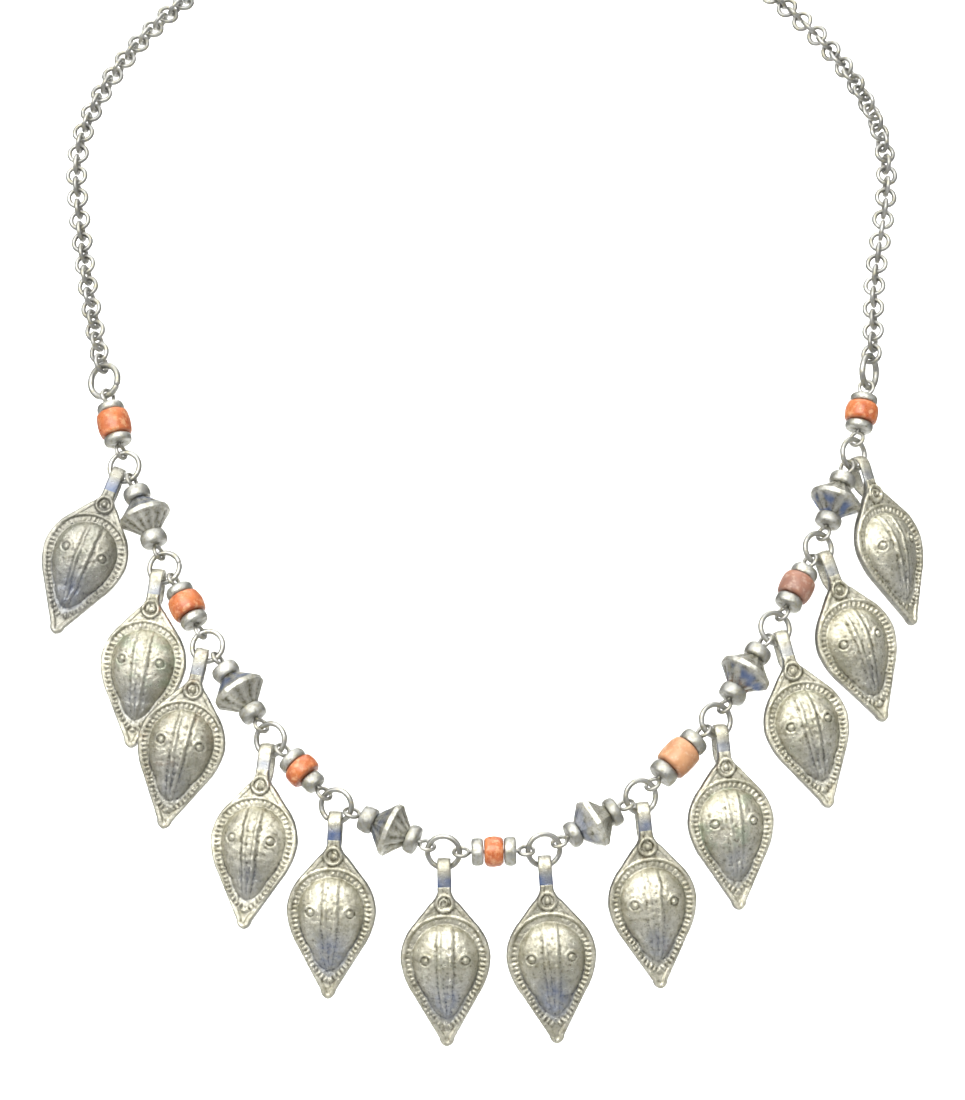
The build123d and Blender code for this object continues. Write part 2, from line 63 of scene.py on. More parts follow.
STRAP_WIDTH, STRAP_THICKNESS, BAIL_TOP, BAIL_ROOM = 2.2, 0.55, 7.0, 2.6
BAIL_KNEE = 1.9
LINK_WIRE, LINK_PLAY = 0.82, 0.6
CLASP_LOOP, CLASP_WIRE, CLASP_MOUTH = 3.8, 1.05, 50.0

# Links of the string from ring 0 to ring 13, with the bead's and the caps' sizes as shares of those above
CORAL, FLUTED, FACETED = "coral", "fluted", "faceted"
LINKS = [
    # kind, heading, lean, length, girth, cap 1 thickness and diameter, cap 2 thickness and diameter
    (CORAL, -73, -30, 1.16, 1.08, 0.86, 0.98, 0.86, 1.02),
    (FLUTED, -65, -31, 1.08, 0.99, 1.05, 1.02, 1.10, 1.00),
    (CORAL, -58, -31, 1.00, 1.12, 1.00, 1.00, 1.02, 1.00),
    (FLUTED, -52, -29, 1.05, 1.00, 1.05, 1.00, 1.05, 0.98),
    (CORAL, -41, -26, 0.76, 1.07, 1.00, 1.04, 1.32, 0.80),
    (FLUTED, -20, -15, 0.95, 1.00, 1.18, 0.96, 0.90, 1.04),
    (CORAL, 1, 1, 0.82, 0.94, 1.14, 0.98, 1.14, 1.01),
    (FACETED, 25, 18, 0.94, 1.03, 0.84, 0.96, 0.84, 1.05),
    (CORAL, 41, 26, 1.30, 1.10, 1.28, 1.02, 1.26, 1.03),
    (FLUTED, 53, 30, 1.03, 1.00, 1.02, 1.02, 1.02, 1.00),
    (CORAL, 57, 32, 1.05, 1.10, 1.08, 1.00, 1.08, 1.00),
    (FLUTED, 66, 31, 0.98, 1.00, 0.94, 1.00, 0.94, 1.00),
    (CORAL, 76, 29, 0.90, 1.08, 0.86, 1.02, 0.84, 1.00),
]
RING_TURNS = [-20, -2, 2, 8, -10, -2, 2, 2, 2, 4, 3, 14, 30, 55]
LEAVES = [
    # tilt, turn, lean
    (20, -4, 18),
    (6, -7, 18),
    (12, -2, 14),
    (3, -11, 20),
    (2, -3, 8),
    (-1, 0, 7),
    (-4, 1, 7),
    (-5, 6, 8),
    (-3, 11, 14),
    (-12, 12, 16),
    (-14.6, 20, 14),
    (-7, 36, 17),
]
LEAF_EDGE = {
    # name: out, up
    "neck": (0.205, 0.035),
    "neck_end": (0.330, -0.010),
    "shoulder": (0.665, -0.138),
    "upper": (0.905, -0.252),
    "widest": (1.000, -0.385),
    "lower": (0.925, -0.510),
    "flank": (0.715, -0.645),
    "tip_start": (0.170, -0.940),
    "tip": (0.102, -0.985),
}
DOME_EDGE = {
    # name: out, down
    "crown": (0.80, 0.135),
    "widest": (1.00, 0.360),
    "taper": (0.60, 0.730),
    "foot": (0.25, 0.930),
}

# How fine the meshes are: points along a path and round a wire
RING_STEPS, RING_SIDES = 76, 12
EYE_STEPS, SHANK_STEPS, PIN_SIDES = 40, 20, 10
LINK_STEPS, LINK_SIDES = 26, 8
HOOK_STEPS, RUN_STEPS, CLASP_SIDES = 44, 8, 12
CAP_SIDES, CORAL_SIDES, FLUTED_SIDES, FACETED_SIDES = 40, 48, 144, 120
FRONT_COLUMNS, BACK_COLUMNS, LEAF_ROWS = 92, 30, 164
TIP_ROWS = (0.42, 0.28, 0.18, 0.10, 0.05, 0.015)

# Relief of the castings above their ground, and the widths of what is worn
GROUND, RIM_LIFT, EDGE_ROUNDING = 0.90, 0.26, 0.36
ARCH_STEP, ARCH_LIFT, BAR_LIFT = 0.16, 0.18, 0.30
RIB_LIFT, RIB_WIDTH, RIB_BULGE = 0.21, 0.66, 0.25
GROOVE_DEPTH, GROOVE_WIDTH, GROOVE_OFFSET = 0.09, 0.62, 0.55
BOSS_LIFT, BOSS_RING_LIFT, BOSS_RING_WIDTH, BOSS_MOAT = 0.48, 0.26, 0.40, 0.08
CHEEK_DEPTH, ROUNDEL_SEAT = 0.10, 1.04
DISC_EDGE, CORAL_EDGE = 0.16, 0.30

# Where each ring's joint shows, in degrees from its own upward way
RING_JOINTS = [-100, 160, -70, 140, 200, 150, 175, 185, 200, -150, 165, 140, 185, 150]

# Each charm's own look: its roundel, the strength of its ribs and bars, its green and rust tarnish, the
# strength of its painted blue reflection, and how much darker it is overall
LeafLook = namedtuple("LeafLook", "roundel ribs left_bars right_bars top_bars green rust blue shade")
DOT, COMMA, SPIRAL = "dot", "comma", "spiral"
LEAF_LOOKS = [
    (DOT, 1.0, 0.8, 0.9, 0.5, 0.15, 0.10, 0.7, 0.62),
    (COMMA, 0.8, 0.9, 0.9, 0.6, 0.75, 0.10, 0.5, 0.22),
    (DOT, 1.1, 1.0, 0.8, 0.6, 0.10, 0.70, 0.5, 0.30),
    (COMMA, 1.2, 1.0, 1.0, 0.6, 0.05, 0.05, 0.5, 0.16),
    (COMMA, 0.8, 0.7, 1.1, 0.4, 0.10, 0.05, 1.0, 0.12),
    (SPIRAL, 0.9, 0.4, 1.1, 0.2, 0.15, 0.05, 0.9, 0.16),
    (DOT, 0.9, 0.8, 1.2, 0.1, 0.10, 0.10, 1.0, 0.16),
    (COMMA, 0.8, 1.0, 0.9, 0.4, 0.05, 0.35, 0.7, 0.10),
    (DOT, 0.7, 0.9, 0.8, 0.8, 0.85, 0.15, 0.6, 0.06),
    (COMMA, 1.0, 0.8, 1.0, 0.8, 0.20, 0.15, 0.4, 0.10),
    (DOT, 1.0, 0.8, 1.0, 0.9, 0.10, 0.25, 0.4, 0.04),
    (SPIRAL, 0.9, 0.6, 1.0, 0.8, 0.10, 0.15, 0.4, 0.04),
]

# Each bicone's own look
BICONE_LOOKS = [
    # flutes, depth, turn, rust, dark tone with painted shade on one cone, painted blue reflection on that
    # cone
    (11, 0.30, 6, 0.05, 0.35, 0.5),
    (9, 0.28, 20, 0.10, 0.30, 0.8),
    (12, 0.36, 10, 0.00, 0.10, 0.5),
    (6, 0.30, 12, 0.10, 0.15, 0.5),
    (9, 0.30, 4, 0.60, 0.35, 0.9),
    (11, 0.32, 12, 0.05, 0.55, 0.9),
]

LAST_END = len(LINKS)
LOW_RING = 6
UP = Vector((0, 0, 1))


# Placing, worked out as for the solids

def direction(heading, lean):
    """The unit vector of a heading seen from the front and a lean to the back."""
    h, l = radians(heading), radians(lean)
    return Vector((cos(l) * cos(h), sin(l), cos(l) * sin(h)))


def flattened(vector, normal):
    """The unit vector of a vector's part that is square to a unit normal."""
    return (vector - normal * vector.dot(normal)).normalized()


def turned(vector, normal, angle):
    """A vector turned about a unit normal that it is square to."""
    a = radians(angle)
    return vector * cos(a) + normal.cross(vector) * sin(a)


def angle_between(first, second, normal):
    """The angle from one vector to another about a unit normal square to both."""
    return degrees(atan2(normal.dot(first.cross(second)), first.dot(second)))


eye_mean = (EYE_OUTER - PIN_WIRE) / 2
bore_radius = PIN_WIRE / 2 + BORE_GAP
link_inside = 2 * LINK_WIRE + LINK_PLAY
link_mean = (link_inside + LINK_WIRE) / 2
clasp_mean = (CLASP_LOOP + CLASP_WIRE) / 2
strap_half = STRAP_WIDTH / 2
half_leaf = LEAF_WIDTH / 2
dome_half = DOME_WIDTH / 2
dome_depth = DOME_RISE + LEAF_PLATE
bail_inner_radius = BAIL_ROOM / 2
bail_outer_radius = bail_inner_radius + STRAP_THICKNESS
bail_centre_y = bail_outer_radius - LEAF_PLATE
bail_centre_z = BAIL_TOP - bail_outer_radius
pin_ways = [direction(row[1], row[2]) for row in LINKS]


def is_end(index):
    """Whether a ring is one of the two that join the chain."""
    return index in (0, LAST_END)


def ring_sizes(index):
    """Mean radius and wire of a jump ring."""
    if is_end(index):
        return (END_RING_OUTER - END_RING_WIRE) / 2, END_RING_WIRE
    return (RING_OUTER - RING_WIRE) / 2, RING_WIRE


def reach_in_ring(index):
    """From a ring's centre to the middle of the pin's wire in it."""
    mean, thickness = ring_sizes(index)
    return mean - thickness / 2 - PIN_WIRE / 2 - HOOK_GAP


def leaf_rotation(index):
    """How a leaf, counted from 0, is leant, then turned, then tilted."""
    tilt, turn, lean = (radians(a) for a in LEAVES[index])
    return Matrix.Rotation(tilt, 4, "Y") @ Matrix.Rotation(turn, 4, "Z") @ Matrix.Rotation(-lean, 4, "X")


def ring_normal(index):
    """The unit vector square to a ring, which holds the string and faces the front."""
    before = pin_ways[max(index - 1, 0)]
    after = pin_ways[min(index, LAST_END - 1)]
    turn = radians(RING_TURNS[index])
    return flattened(Vector((sin(turn), -cos(turn), 0)), (before + after).normalized())


def parted(way, hanging, normal, share):
    """An eye's way in its ring, moved from the bail by this share of the angle that it lacks."""
    angle = angle_between(hanging, way, normal)
    lack = max(EYE_SPREAD - abs(angle), 0)
    return turned(way, normal, copysign(lack * share, angle))


def ring_ways(index):
    """The ways from a ring's centre to the eye before it, the eye after it and its bail."""
    normal = ring_normal(index)
    before = flattened(-pin_ways[max(index - 1, 0)], normal)
    after = flattened(pin_ways[min(index, LAST_END - 1)], normal)
    if is_end(index):
        return before, after, None
    hanging = flattened(leaf_rotation(index - 1).to_3x3() @ -UP, normal)
    nearer = min(before, after, key=lambda way: abs(angle_between(hanging, way, normal)))
    hanging = parted(hanging, nearer, normal, 0.5)
    return parted(before, hanging, normal, 1), parted(after, hanging, normal, 1), hanging


def bead_sizes(index):
    """Length and diameter of a pin's bead, then thickness and diameter of its two caps."""
    kind, _, _, length, girth, *caps = LINKS[index]
    if kind == CORAL:
        base, cap = (CORAL_LENGTH, CORAL_DIAMETER), (CAP_THICKNESS, CAP_DIAMETER)
    else:
        base, cap = (BICONE_LENGTH, BICONE_DIAMETER), (SPACER_THICKNESS, SPACER_DIAMETER)
    cap_sizes = [(caps[0] * cap[0], caps[1] * cap[1]), (caps[2] * cap[0], caps[3] * cap[1])]
    return base[0] * length, base[1] * girth, cap_sizes


def stack_length(index):
    """Length of a pin's bead and caps, with the gaps between them."""
    length, _, caps = bead_sizes(index)
    return length + caps[0][0] + caps[1][0] + 2 * FACE_GAP


def pin_span(index):
    """Distance between the wires at the far ends of a pin's two eyes."""
    return stack_length(index) + 2 * (2 * eye_mean + PIN_WIRE / 2 + FACE_GAP)


def ring_centres():
    """Centres of the rings, link by link from the low ring to both ends."""
    centres = {LOW_RING: Vector(LOW_RING_PLACE)}
    for i in range(LOW_RING, LAST_END):
        start = centres[i] + ring_ways(i)[1] * reach_in_ring(i)
        end = start + pin_ways[i] * pin_span(i)
        centres[i + 1] = end - ring_ways(i + 1)[0] * reach_in_ring(i + 1)
    for i in range(LOW_RING, 0, -1):
        end = centres[i] + ring_ways(i)[0] * reach_in_ring(i)
        start = end - pin_ways[i - 1] * pin_span(i - 1)
        centres[i - 1] = start - ring_ways(i - 1)[1] * reach_in_ring(i - 1)
    return [centres[i] for i in range(LAST_END + 1)]


CENTRES = ring_centres()


def pin_start(index):
    """The middle of the wire at the first end of a pin."""
    return CENTRES[index] + ring_ways(index)[1] * reach_in_ring(index)


def on_pin(index, distance):
    """The matrix of what sits on a pin, its middle this far along the bead's stack."""
    way = pin_ways[index]
    x_way = flattened(ring_normal(index), way)
    matrix = Matrix((x_way, way.cross(x_way), way)).transposed().to_4x4()
    matrix.translation = pin_start(index) + way * (2 * eye_mean + PIN_WIRE / 2 + FACE_GAP + distance)
    return matrix


def bearing_point(index):
    """The middle of the ring's wire in the leaf's bail: lower where the wire runs askew."""
    ring = index + 1
    mean, thickness = ring_sizes(ring)
    free = bail_inner_radius - thickness / 2 - BAIL_GAP
    way = ring_normal(ring).cross(ring_ways(ring)[2])
    along = leaf_rotation(index).to_3x3().inverted() @ way
    aside = strap_half * abs(along.y / along.x)
    hole = mean - thickness / 2
    off_centre = hole * sin(atan2(abs(along.z), abs(along.x)))
    bend = sqrt(hole**2 - off_centre**2) - sqrt(hole**2 - (off_centre + strap_half) ** 2)
    return Vector((0, bail_centre_y, bail_centre_z + sqrt(free**2 - aside**2) - bend))


def leaf_matrix(index):
    """The matrix of a leaf, counted from 0, where it hangs."""
    ring = index + 1
    bearing = CENTRES[ring] + ring_ways(ring)[2] * ring_sizes(ring)[0]
    return Matrix.Translation(bearing) @ leaf_rotation(index) @ Matrix.Translation(-bearing_point(index))


# Meshes: a chunk is points, faces and the tone values of its points

# Tones that the meshes carry: low places, a painted blue reflection, green and rust tarnish, and a dark tone
# that holds painted shade
TONES = ("low", "blue", "green", "rust", "dark")


def grid_faces(rows, columns, closed_rows=False, closed_columns=True):
    """Quads between neighbouring rows and columns of a grid of points."""
    r = np.arange(rows if closed_rows else rows - 1)
    c = np.arange(columns if closed_columns else columns - 1)
    rr, cc = np.meshgrid(r, c, indexing="ij")
    next_row, next_column = (rr + 1) % rows, (cc + 1) % columns
    corners = [rr * columns + cc, rr * columns + next_column, next_row * columns + next_column,
               next_row * columns + cc]
    return np.stack(corners, -1).reshape(-1, 4).tolist()


def capped_faces(rows, columns):
    """The faces of a closed tube with a flat face at both ends."""
    faces = grid_faces(rows, columns)
    faces.append(list(range(columns))[::-1])
    faces.append([(rows - 1) * columns + k for k in range(columns)])
    return faces


def chunk(points, faces, **tones):
    """Points, faces and tones over the points, 0 where none is given."""
    points = np.asarray(points, float).reshape(-1, 3)
    values = {name: np.broadcast_to(np.ravel(tones.get(name, 0.0)), (len(points),)) for name in TONES}
    return points, faces, values


def moved(piece, matrix):
    """A chunk moved by a matrix."""
    m = np.array(matrix)
    points, faces, values = piece
    return points @ m[:3, :3].T + m[:3, 3], faces, values


def ease(x, low, high):
    """0 at low, 1 at high, smooth between."""
    t = np.clip((np.asarray(x, float) - low) / (high - low), 0, 1)
    return t * t * (3 - 2 * t)


def rough(points, scale, seed):
    """Smooth noise from -1 to 1 at each point."""
    shift = Vector((seed * 7.31, seed * 3.17, seed * 5.93))
    return np.array([noise.noise(Vector(p) * scale + shift) for p in points.tolist()])


def unit_rows(vectors):
    """Each vector of an array at length 1."""
    return vectors / np.linalg.norm(vectors, axis=1)[:, None]


def grid_rough(points, scale, seed):
    """Smooth noise from -1 to 1 over a grid of points."""
    return rough(points.reshape(-1, 3), scale, seed).reshape(points.shape[:-1])


def round_points(radius, angle, height):
    """Points about Z from their radii, angles and heights."""
    return np.stack([radius * np.cos(angle), radius * np.sin(angle), height], -1)


def add_object(name, data):
    """A new object in the scene."""
    made = bpy.data.objects.new(name, data)
    bpy.context.scene.collection.objects.link(made)
    return made


def add_mesh(name, points, faces):
    """A new object in the scene, shaded smooth, with a mesh of its own."""
    mesh = bpy.data.meshes.new(name)
    mesh.from_pydata(points, [], faces)
    mesh.polygons.foreach_set("use_smooth", np.ones(len(mesh.polygons), bool))
    return add_object(name, mesh)


def make_object(name, chunks, slot, node):
    """One object of joined chunks, shaded smooth, that stands for a CAD node."""
    offsets = np.cumsum([0] + [len(c[0]) for c in chunks])
    points = np.concatenate([c[0] for c in chunks]) * MM
    faces = [[v + int(o) for v in face] for c, o in zip(chunks, offsets) for face in c[1]]
    piece = add_mesh(name, points, faces)
    mesh = piece.data
    for key in TONES:
        values = np.concatenate([c[2][key] for c in chunks]).astype(np.float32)
        mesh.attributes.new(key, "FLOAT", "POINT").data.foreach_set("value", values)
    mesh.update()
    body = bmesh.new()
    body.from_mesh(mesh)
    bmesh.ops.recalc_face_normals(body, faces=body.faces)
    body.to_mesh(mesh)
    body.free()
    mesh.materials.append(MATERIALS[slot])
    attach(piece, "root")
    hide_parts(node)


# Rounded ends of a wire: each further step and the radius there, as shares of the wire's radius
WIRE_ENDS = ((0.30, 0.92), (0.15, 0.70), (0.15, 0.40))


def wire_tube(path, normal, radius, sides, seed, wear, closed=False):
    """A round wire along a path in the plane with this normal; open ends are rounded off."""
    path = np.asarray(path, float)
    normal = np.asarray(normal, float)
    ways = unit_rows(np.roll(path, -1, 0) - np.roll(path, 1, 0) if closed else np.gradient(path, axis=0))
    radii = np.full(len(path), radius)
    if not closed:
        for step, share in WIRE_ENDS:
            path = np.vstack([path[0] - ways[0] * radius * step, path, path[-1] + ways[-1] * radius * step])
            ways = np.vstack([ways[0], ways, ways[-1]])
            radii = np.concatenate([[radius * share], radii, [radius * share]])
    side_ways = np.cross(ways, normal)
    angles = np.arange(sides) * 2 * pi / sides
    ring = np.cos(angles)[None, :, None] * normal + np.sin(angles)[None, :, None] * side_ways[:, None, :]
    points = path[:, None, :] + ring * radii[:, None, None]
    flat = points.reshape(-1, 3)
    bumps = rough(flat, 1.3, seed) * wear * radius
    flat = flat + ring.reshape(-1, 3) * bumps[:, None]
    faces = grid_faces(len(path), sides, closed_rows=True) if closed else capped_faces(len(path), sides)
    return chunk(flat, faces)


def circle_path(centre, first, normal, radius, start, end, steps):
    """Points on a circle, by angles in degrees from its first way."""
    second = normal.cross(first)
    angles = np.radians(np.linspace(start, end, steps))
    return [centre + first * radius * cos(a) + second * radius * sin(a) for a in angles]


def drilled(profile, sides, shape):
    """A drilled solid turned about Z from a closed profile; shape moves its radii."""
    radius, height = np.asarray(profile, float).T
    angles = np.arange(sides) * 2 * pi / sides
    rr, aa = np.meshgrid(radius, angles, indexing="ij")
    hh = np.repeat(height[:, None], sides, 1)
    rr, tones = shape(rr, hh, aa)
    return chunk(round_points(rr, aa, hh), grid_faces(len(radius), sides, closed_rows=True), **tones)


def arc_through(start, middle, end, steps):
    """Points of the circular arc through three points in a plane."""
    (ax, ay), (bx, by), (cx, cy) = start, middle, end
    d = 2 * (ax * (by - cy) + bx * (cy - ay) + cx * (ay - by))
    ux = ((ax**2 + ay**2) * (by - cy) + (bx**2 + by**2) * (cy - ay) + (cx**2 + cy**2) * (ay - by)) / d
    uy = ((ax**2 + ay**2) * (cx - bx) + (bx**2 + by**2) * (ax - cx) + (cx**2 + cy**2) * (bx - ax)) / d
    first, mid, last = (atan2(y - uy, x - ux) for x, y in (start, middle, end))
    sweep = (last - first) % (2 * pi)
    if (mid - first) % (2 * pi) > sweep:
        sweep -= 2 * pi
    r = sqrt((ax - ux) ** 2 + (ay - uy) ** 2)
    angles = first + sweep * np.linspace(0, 1, steps)
    return [(ux + r * cos(a), uy + r * sin(a)) for a in angles]


def arc_from(start, tangent, end, steps):
    """Points of the arc that leaves start along a tangent to end, and its tangent there."""
    s, t, e = Vector(start), Vector(tangent), Vector(end)
    chord = e - s
    along = chord.normalized()
    aside = t - along * t.dot(along)
    middle = (s + e) / 2
    if aside.length > 1e-6:
        middle += aside.normalized() * chord.length / 2 * sin(acos(t.dot(along))) / (1 + t.dot(along))
    return arc_through(start, tuple(middle), end, steps), along * 2 * t.dot(along) - t


# The leaf: fields over the plaque, worked out once

def leaf_edge_line():
    """The right half of the plaque's edge from neck to tip."""
    edge = {name: (out * half_leaf, up * LEAF_DROP) for name, (out, up) in LEAF_EDGE.items()}
    line = arc_through((strap_half, NECK_RISE), edge["neck"], edge["neck_end"], 10)
    line += arc_through(edge["shoulder"], edge["upper"], edge["widest"], 24)
    line += arc_through(edge["widest"], edge["lower"], edge["flank"], 24)[1:]
    line += arc_through(edge["tip_start"], edge["tip"], (0, -LEAF_DROP), 12)
    return np.array(line)


def dome_line(half_width, top, bottom):
    """The right half of the dome's edge from crown to foot."""
    edge = {name: (out * half_width, top - down * (top - bottom)) for name, (out, down) in DOME_EDGE.items()}
    crown, way = arc_from((0, top), (1, 0), edge["crown"], 24)
    flank, way = arc_from(edge["crown"], way, edge["widest"], 24)
    taper, _ = arc_from(edge["widest"], way, edge["taper"], 24)
    foot = arc_through(edge["taper"], edge["foot"], (0, bottom), 24)
    return np.array(crown + flank[1:] + taper[1:] + foot[1:])


def line_distance(points, line):
    """Each point's distance to a line, and how far along the line its nearest point is."""
    starts, ways = line[:-1], np.diff(line, axis=0)
    lengths = np.linalg.norm(ways, axis=1)
    reached = np.concatenate([[0], np.cumsum(lengths)[:-1]])
    offset = points[:, None, :] - starts[None]
    share = np.clip((offset * ways).sum(-1) / lengths**2, 0, 1)
    apart = np.linalg.norm(offset - share[..., None] * ways, axis=-1)
    nearest = apart.argmin(1)
    rows = np.arange(len(points))
    return apart[rows, nearest], (reached + share * lengths)[rows, nearest]


def smoothed(field):
    """A grid of values blurred twice over its neighbours."""
    for _ in range(2):
        padded = np.pad(field, 2, mode="edge")
        field = sum(padded[2 + dy:padded.shape[0] - 2 + dy, 2 + dx:padded.shape[1] - 2 + dx]
                    for dx in (-2, -1, 0, 1, 2) for dy in (-2, -1, 0, 1, 2)) / 25
    return field


edge_line = leaf_edge_line()
bulge_line = dome_line(dome_half, -DOME_TOP, -DOME_BOTTOM)
hollow_line = dome_line(dome_half - DOME_WALL, -DOME_TOP - DOME_WALL, -DOME_BOTTOM + DOME_WALL)


def half_width_at(z, line):
    """Half widths at these heights of the form with this right half, and 0 outside it."""
    order = np.argsort(line[:, 1])
    return np.interp(z, line[order, 1], line[order, 0], left=0, right=0)


leaf_heights = np.concatenate([
    np.linspace(NECK_RISE + 0.7, -LEAF_DROP + TIP_ROWS[0] + 0.15, LEAF_ROWS - len(TIP_ROWS)),
    [-LEAF_DROP + rise for rise in TIP_ROWS],
])
row_half = np.interp(-leaf_heights, -edge_line[:, 1], edge_line[:, 0], left=strap_half)
spread = np.linspace(-1, 1, FRONT_COLUMNS)
spread = 0.72 * spread + 0.28 * np.sin(spread * pi / 2)
front_x = row_half[:, None] * spread[None, :]
front_z = np.repeat(leaf_heights[:, None], FRONT_COLUMNS, 1)
flat_points = np.stack([np.abs(front_x).ravel(), front_z.ravel()], -1)
edge_apart = line_distance(flat_points, edge_line)[0].reshape(front_x.shape)
edge_apart[front_z > NECK_RISE] = (strap_half - np.abs(front_x))[front_z > NECK_RISE]
dome_apart, dome_along = (f.reshape(front_x.shape) for f in line_distance(flat_points, bulge_line))
bulge_half = half_width_at(front_z, bulge_line)
in_dome = np.abs(front_x) < bulge_half
dome_height = dome_depth / dome_half * np.sqrt(np.maximum(bulge_half**2 - front_x**2, 0))
outside_dome = np.where(in_dome, -dome_apart, dome_apart)


def ridge(distance, width):
    """A rounded ridge's height from 0 to 1, by the distance from its middle line."""
    return np.sqrt(np.clip(1 - (distance / (width / 2)) ** 2, 0, 1))


def roundel_field(kind):
    """Height of the roundel's ring and what is in it."""
    r = np.hypot(front_x, front_z)
    angle = np.arctan2(front_z, front_x)
    ring = ridge(r - (ROUNDEL_OUTER - ROUNDEL_WIDTH) / 2, ROUNDEL_WIDTH * 1.15) * 0.42
    if kind == SPIRAL:
        reach = 0.30 + 0.75 * ((angle + 0.9) % (2 * pi)) / (2 * pi)
        inner = ridge(r - reach, 0.36) * 0.34
    elif kind == COMMA:
        dot = ridge(np.hypot(front_x - 0.05, front_z + 0.10), ROUNDEL_DOT) * 0.40
        tail = ridge(r - 0.62, 0.30) * 0.26 * ease(np.cos(angle - 0.5), 0.2, 0.7)
        inner = np.maximum(dot, tail)
    else:
        inner = ridge(r, ROUNDEL_DOT) * 0.45
    return np.maximum(ring, inner)


def border_bars(look, seed, coarse, medium):
    """The bars between the dome and the rim, from 0 to about 1, worn unevenly."""
    beat = np.cos(2 * pi * dome_along / BAR_PITCH + seed + 0.5 * coarse)
    window = ease(outside_dome, 0.0, 0.18) * ease(outside_dome, 0.98, 0.74)
    side = np.where(front_x < 0, look.left_bars, look.right_bars)
    strength = side * (look.top_bars + (1 - look.top_bars) * ease(-front_z, 5.0, 8.5))
    strength = strength * (0.72 + 0.55 * np.clip(medium + 0.2, -0.6, 0.6)) * ease(-front_z, 20.9, 19.9)
    return ease(beat, -0.75, 0.45) * window * strength


def plaque_relief(bars):
    """Height of the plaque with its rim, arch band and bars, rounded off at its edge."""
    field = GROUND + RIM_LIFT * ease(edge_apart, 1.05, 0.70)
    arch = np.hypot(front_x, front_z + BROW_DROP + BROW_RADIUS)
    over = ease(front_z, -BROW_FOOT - 0.5, -BROW_FOOT + 0.8)
    band_foot = BROW_RADIUS - BROW_WIDTH
    field = np.maximum(field, GROUND + ease(arch, band_foot - 0.12, band_foot) * over * ARCH_STEP)
    field += ridge(arch - BROW_RADIUS + BROW_WIDTH / 2, BROW_WIDTH) * ARCH_LIFT * over
    field += BAR_LIFT * bars
    round_edge = np.sqrt(np.clip(1 - (1 - np.clip(edge_apart / EDGE_ROUNDING, 0, 1)) ** 2, 0, 1))
    return EDGE_ROUNDING + (field - EDGE_ROUNDING) * round_edge


def dome_relief(look, coarse, medium):
    """Height of the dome with its two ribs, its ringed bosses and its hollow cheeks."""
    x, z = front_x, front_z
    share = np.clip((-z - DOME_TOP) / (RIB_FOOT_DROP - DOME_TOP), 0, 1)
    rib_out = RIB_SPREAD / 2 * (1 - share) + RIB_FOOT_SPREAD / 2 * share
    rib_out = rib_out + RIB_BULGE * np.sin(share * pi)
    aside = np.abs(x + 0.14 * coarse + 0.05 * medium) - rib_out
    rib = ridge(aside, RIB_WIDTH) * (0.62 + 0.38 * ease(share, 0.0, 0.25)) * ease(share, 1.0, 0.93)
    groove = ridge(aside - GROOVE_OFFSET, GROOVE_WIDTH) * ease(share, 0.95, 0.7)
    dome = dome_height + look.ribs * (RIB_LIFT * rib - GROOVE_DEPTH * groove) * (1 + 0.5 * medium)
    from_boss = z + BOSS_DROP
    r = np.hypot(np.abs(x) - BOSS_SPREAD / 2, from_boss)
    ball = ridge(r, BOSS_DIAMETER * 0.86)
    halo_width = BOSS_RING_WIDTH + 0.16 * ease(from_boss, -0.4, 0.6)
    halo = ridge(r - (BOSS_RING_OUTER - 0.30) / 2, halo_width) * (0.30 + 0.70 * ease(from_boss, -0.7, 0.5))
    dome = dome + BOSS_LIFT * ball + BOSS_RING_LIFT * halo - BOSS_MOAT * ridge(r - 0.62, 0.3)
    return dome - CHEEK_DEPTH * np.exp(-((np.abs(x) - 2.2) / 0.9) ** 2 - ((z + 12.2) / 2.6) ** 2)


def front_tones(look, field, bars, inside, coarse, medium, fine):
    """Tones of the front: dark hollows, painted shade along the edge, a painted blue reflection at the dome's
    foot, green and rust patches.
    """
    x, down = front_x, -front_z
    low = np.clip((smoothed(field) - field) / 0.12, 0, 1)
    channel = ease(outside_dome, -0.05, 0.1) * ease(outside_dome, 1.05, 0.85)
    low = np.clip(low * (1 - 0.5 * channel) + (0.42 - 0.50 * bars) * channel * ease(down, 3.5, 8.0), 0, 1)
    low = np.clip(low + 0.32 * ease(-medium - 0.8 * fine, 0.05, 0.6), 0, 1) * inside
    low *= 1 - 0.6 * np.exp(-(outside_dome / 0.45) ** 2) * ease(down, 15.0, 8.0)
    # Painted blue reflection: strongest at the foot of the dome, fainter over the dome's lower part
    foot = np.exp(-((15.8 - down) / 2.8) ** 2) * np.exp(-(x / 2.4) ** 2)
    patchy = 0.60 + 0.45 * ease(medium - 0.8 * coarse, -0.6, 0.5)
    return {
        "low": low,
        "blue": 0.6 * look.blue * np.clip(foot + 0.30 * ease(down, 9.5, 13) * in_dome, 0, 1) * patchy,
        "green": look.green * ease(coarse + 0.5 * medium, -0.1, 0.6) * in_dome * ease(down, 15, 12),
        "rust": look.rust * ease(-coarse + 0.4 * medium, 0.25, 0.7) * 0.4,
        # Painted shade along the plaque's edge, and how much darker the whole charm is
        "dark": np.maximum(0.85 * ease(edge_apart, 0.30, 0.05), look.shade * (1 + 0.25 * coarse)),
    }


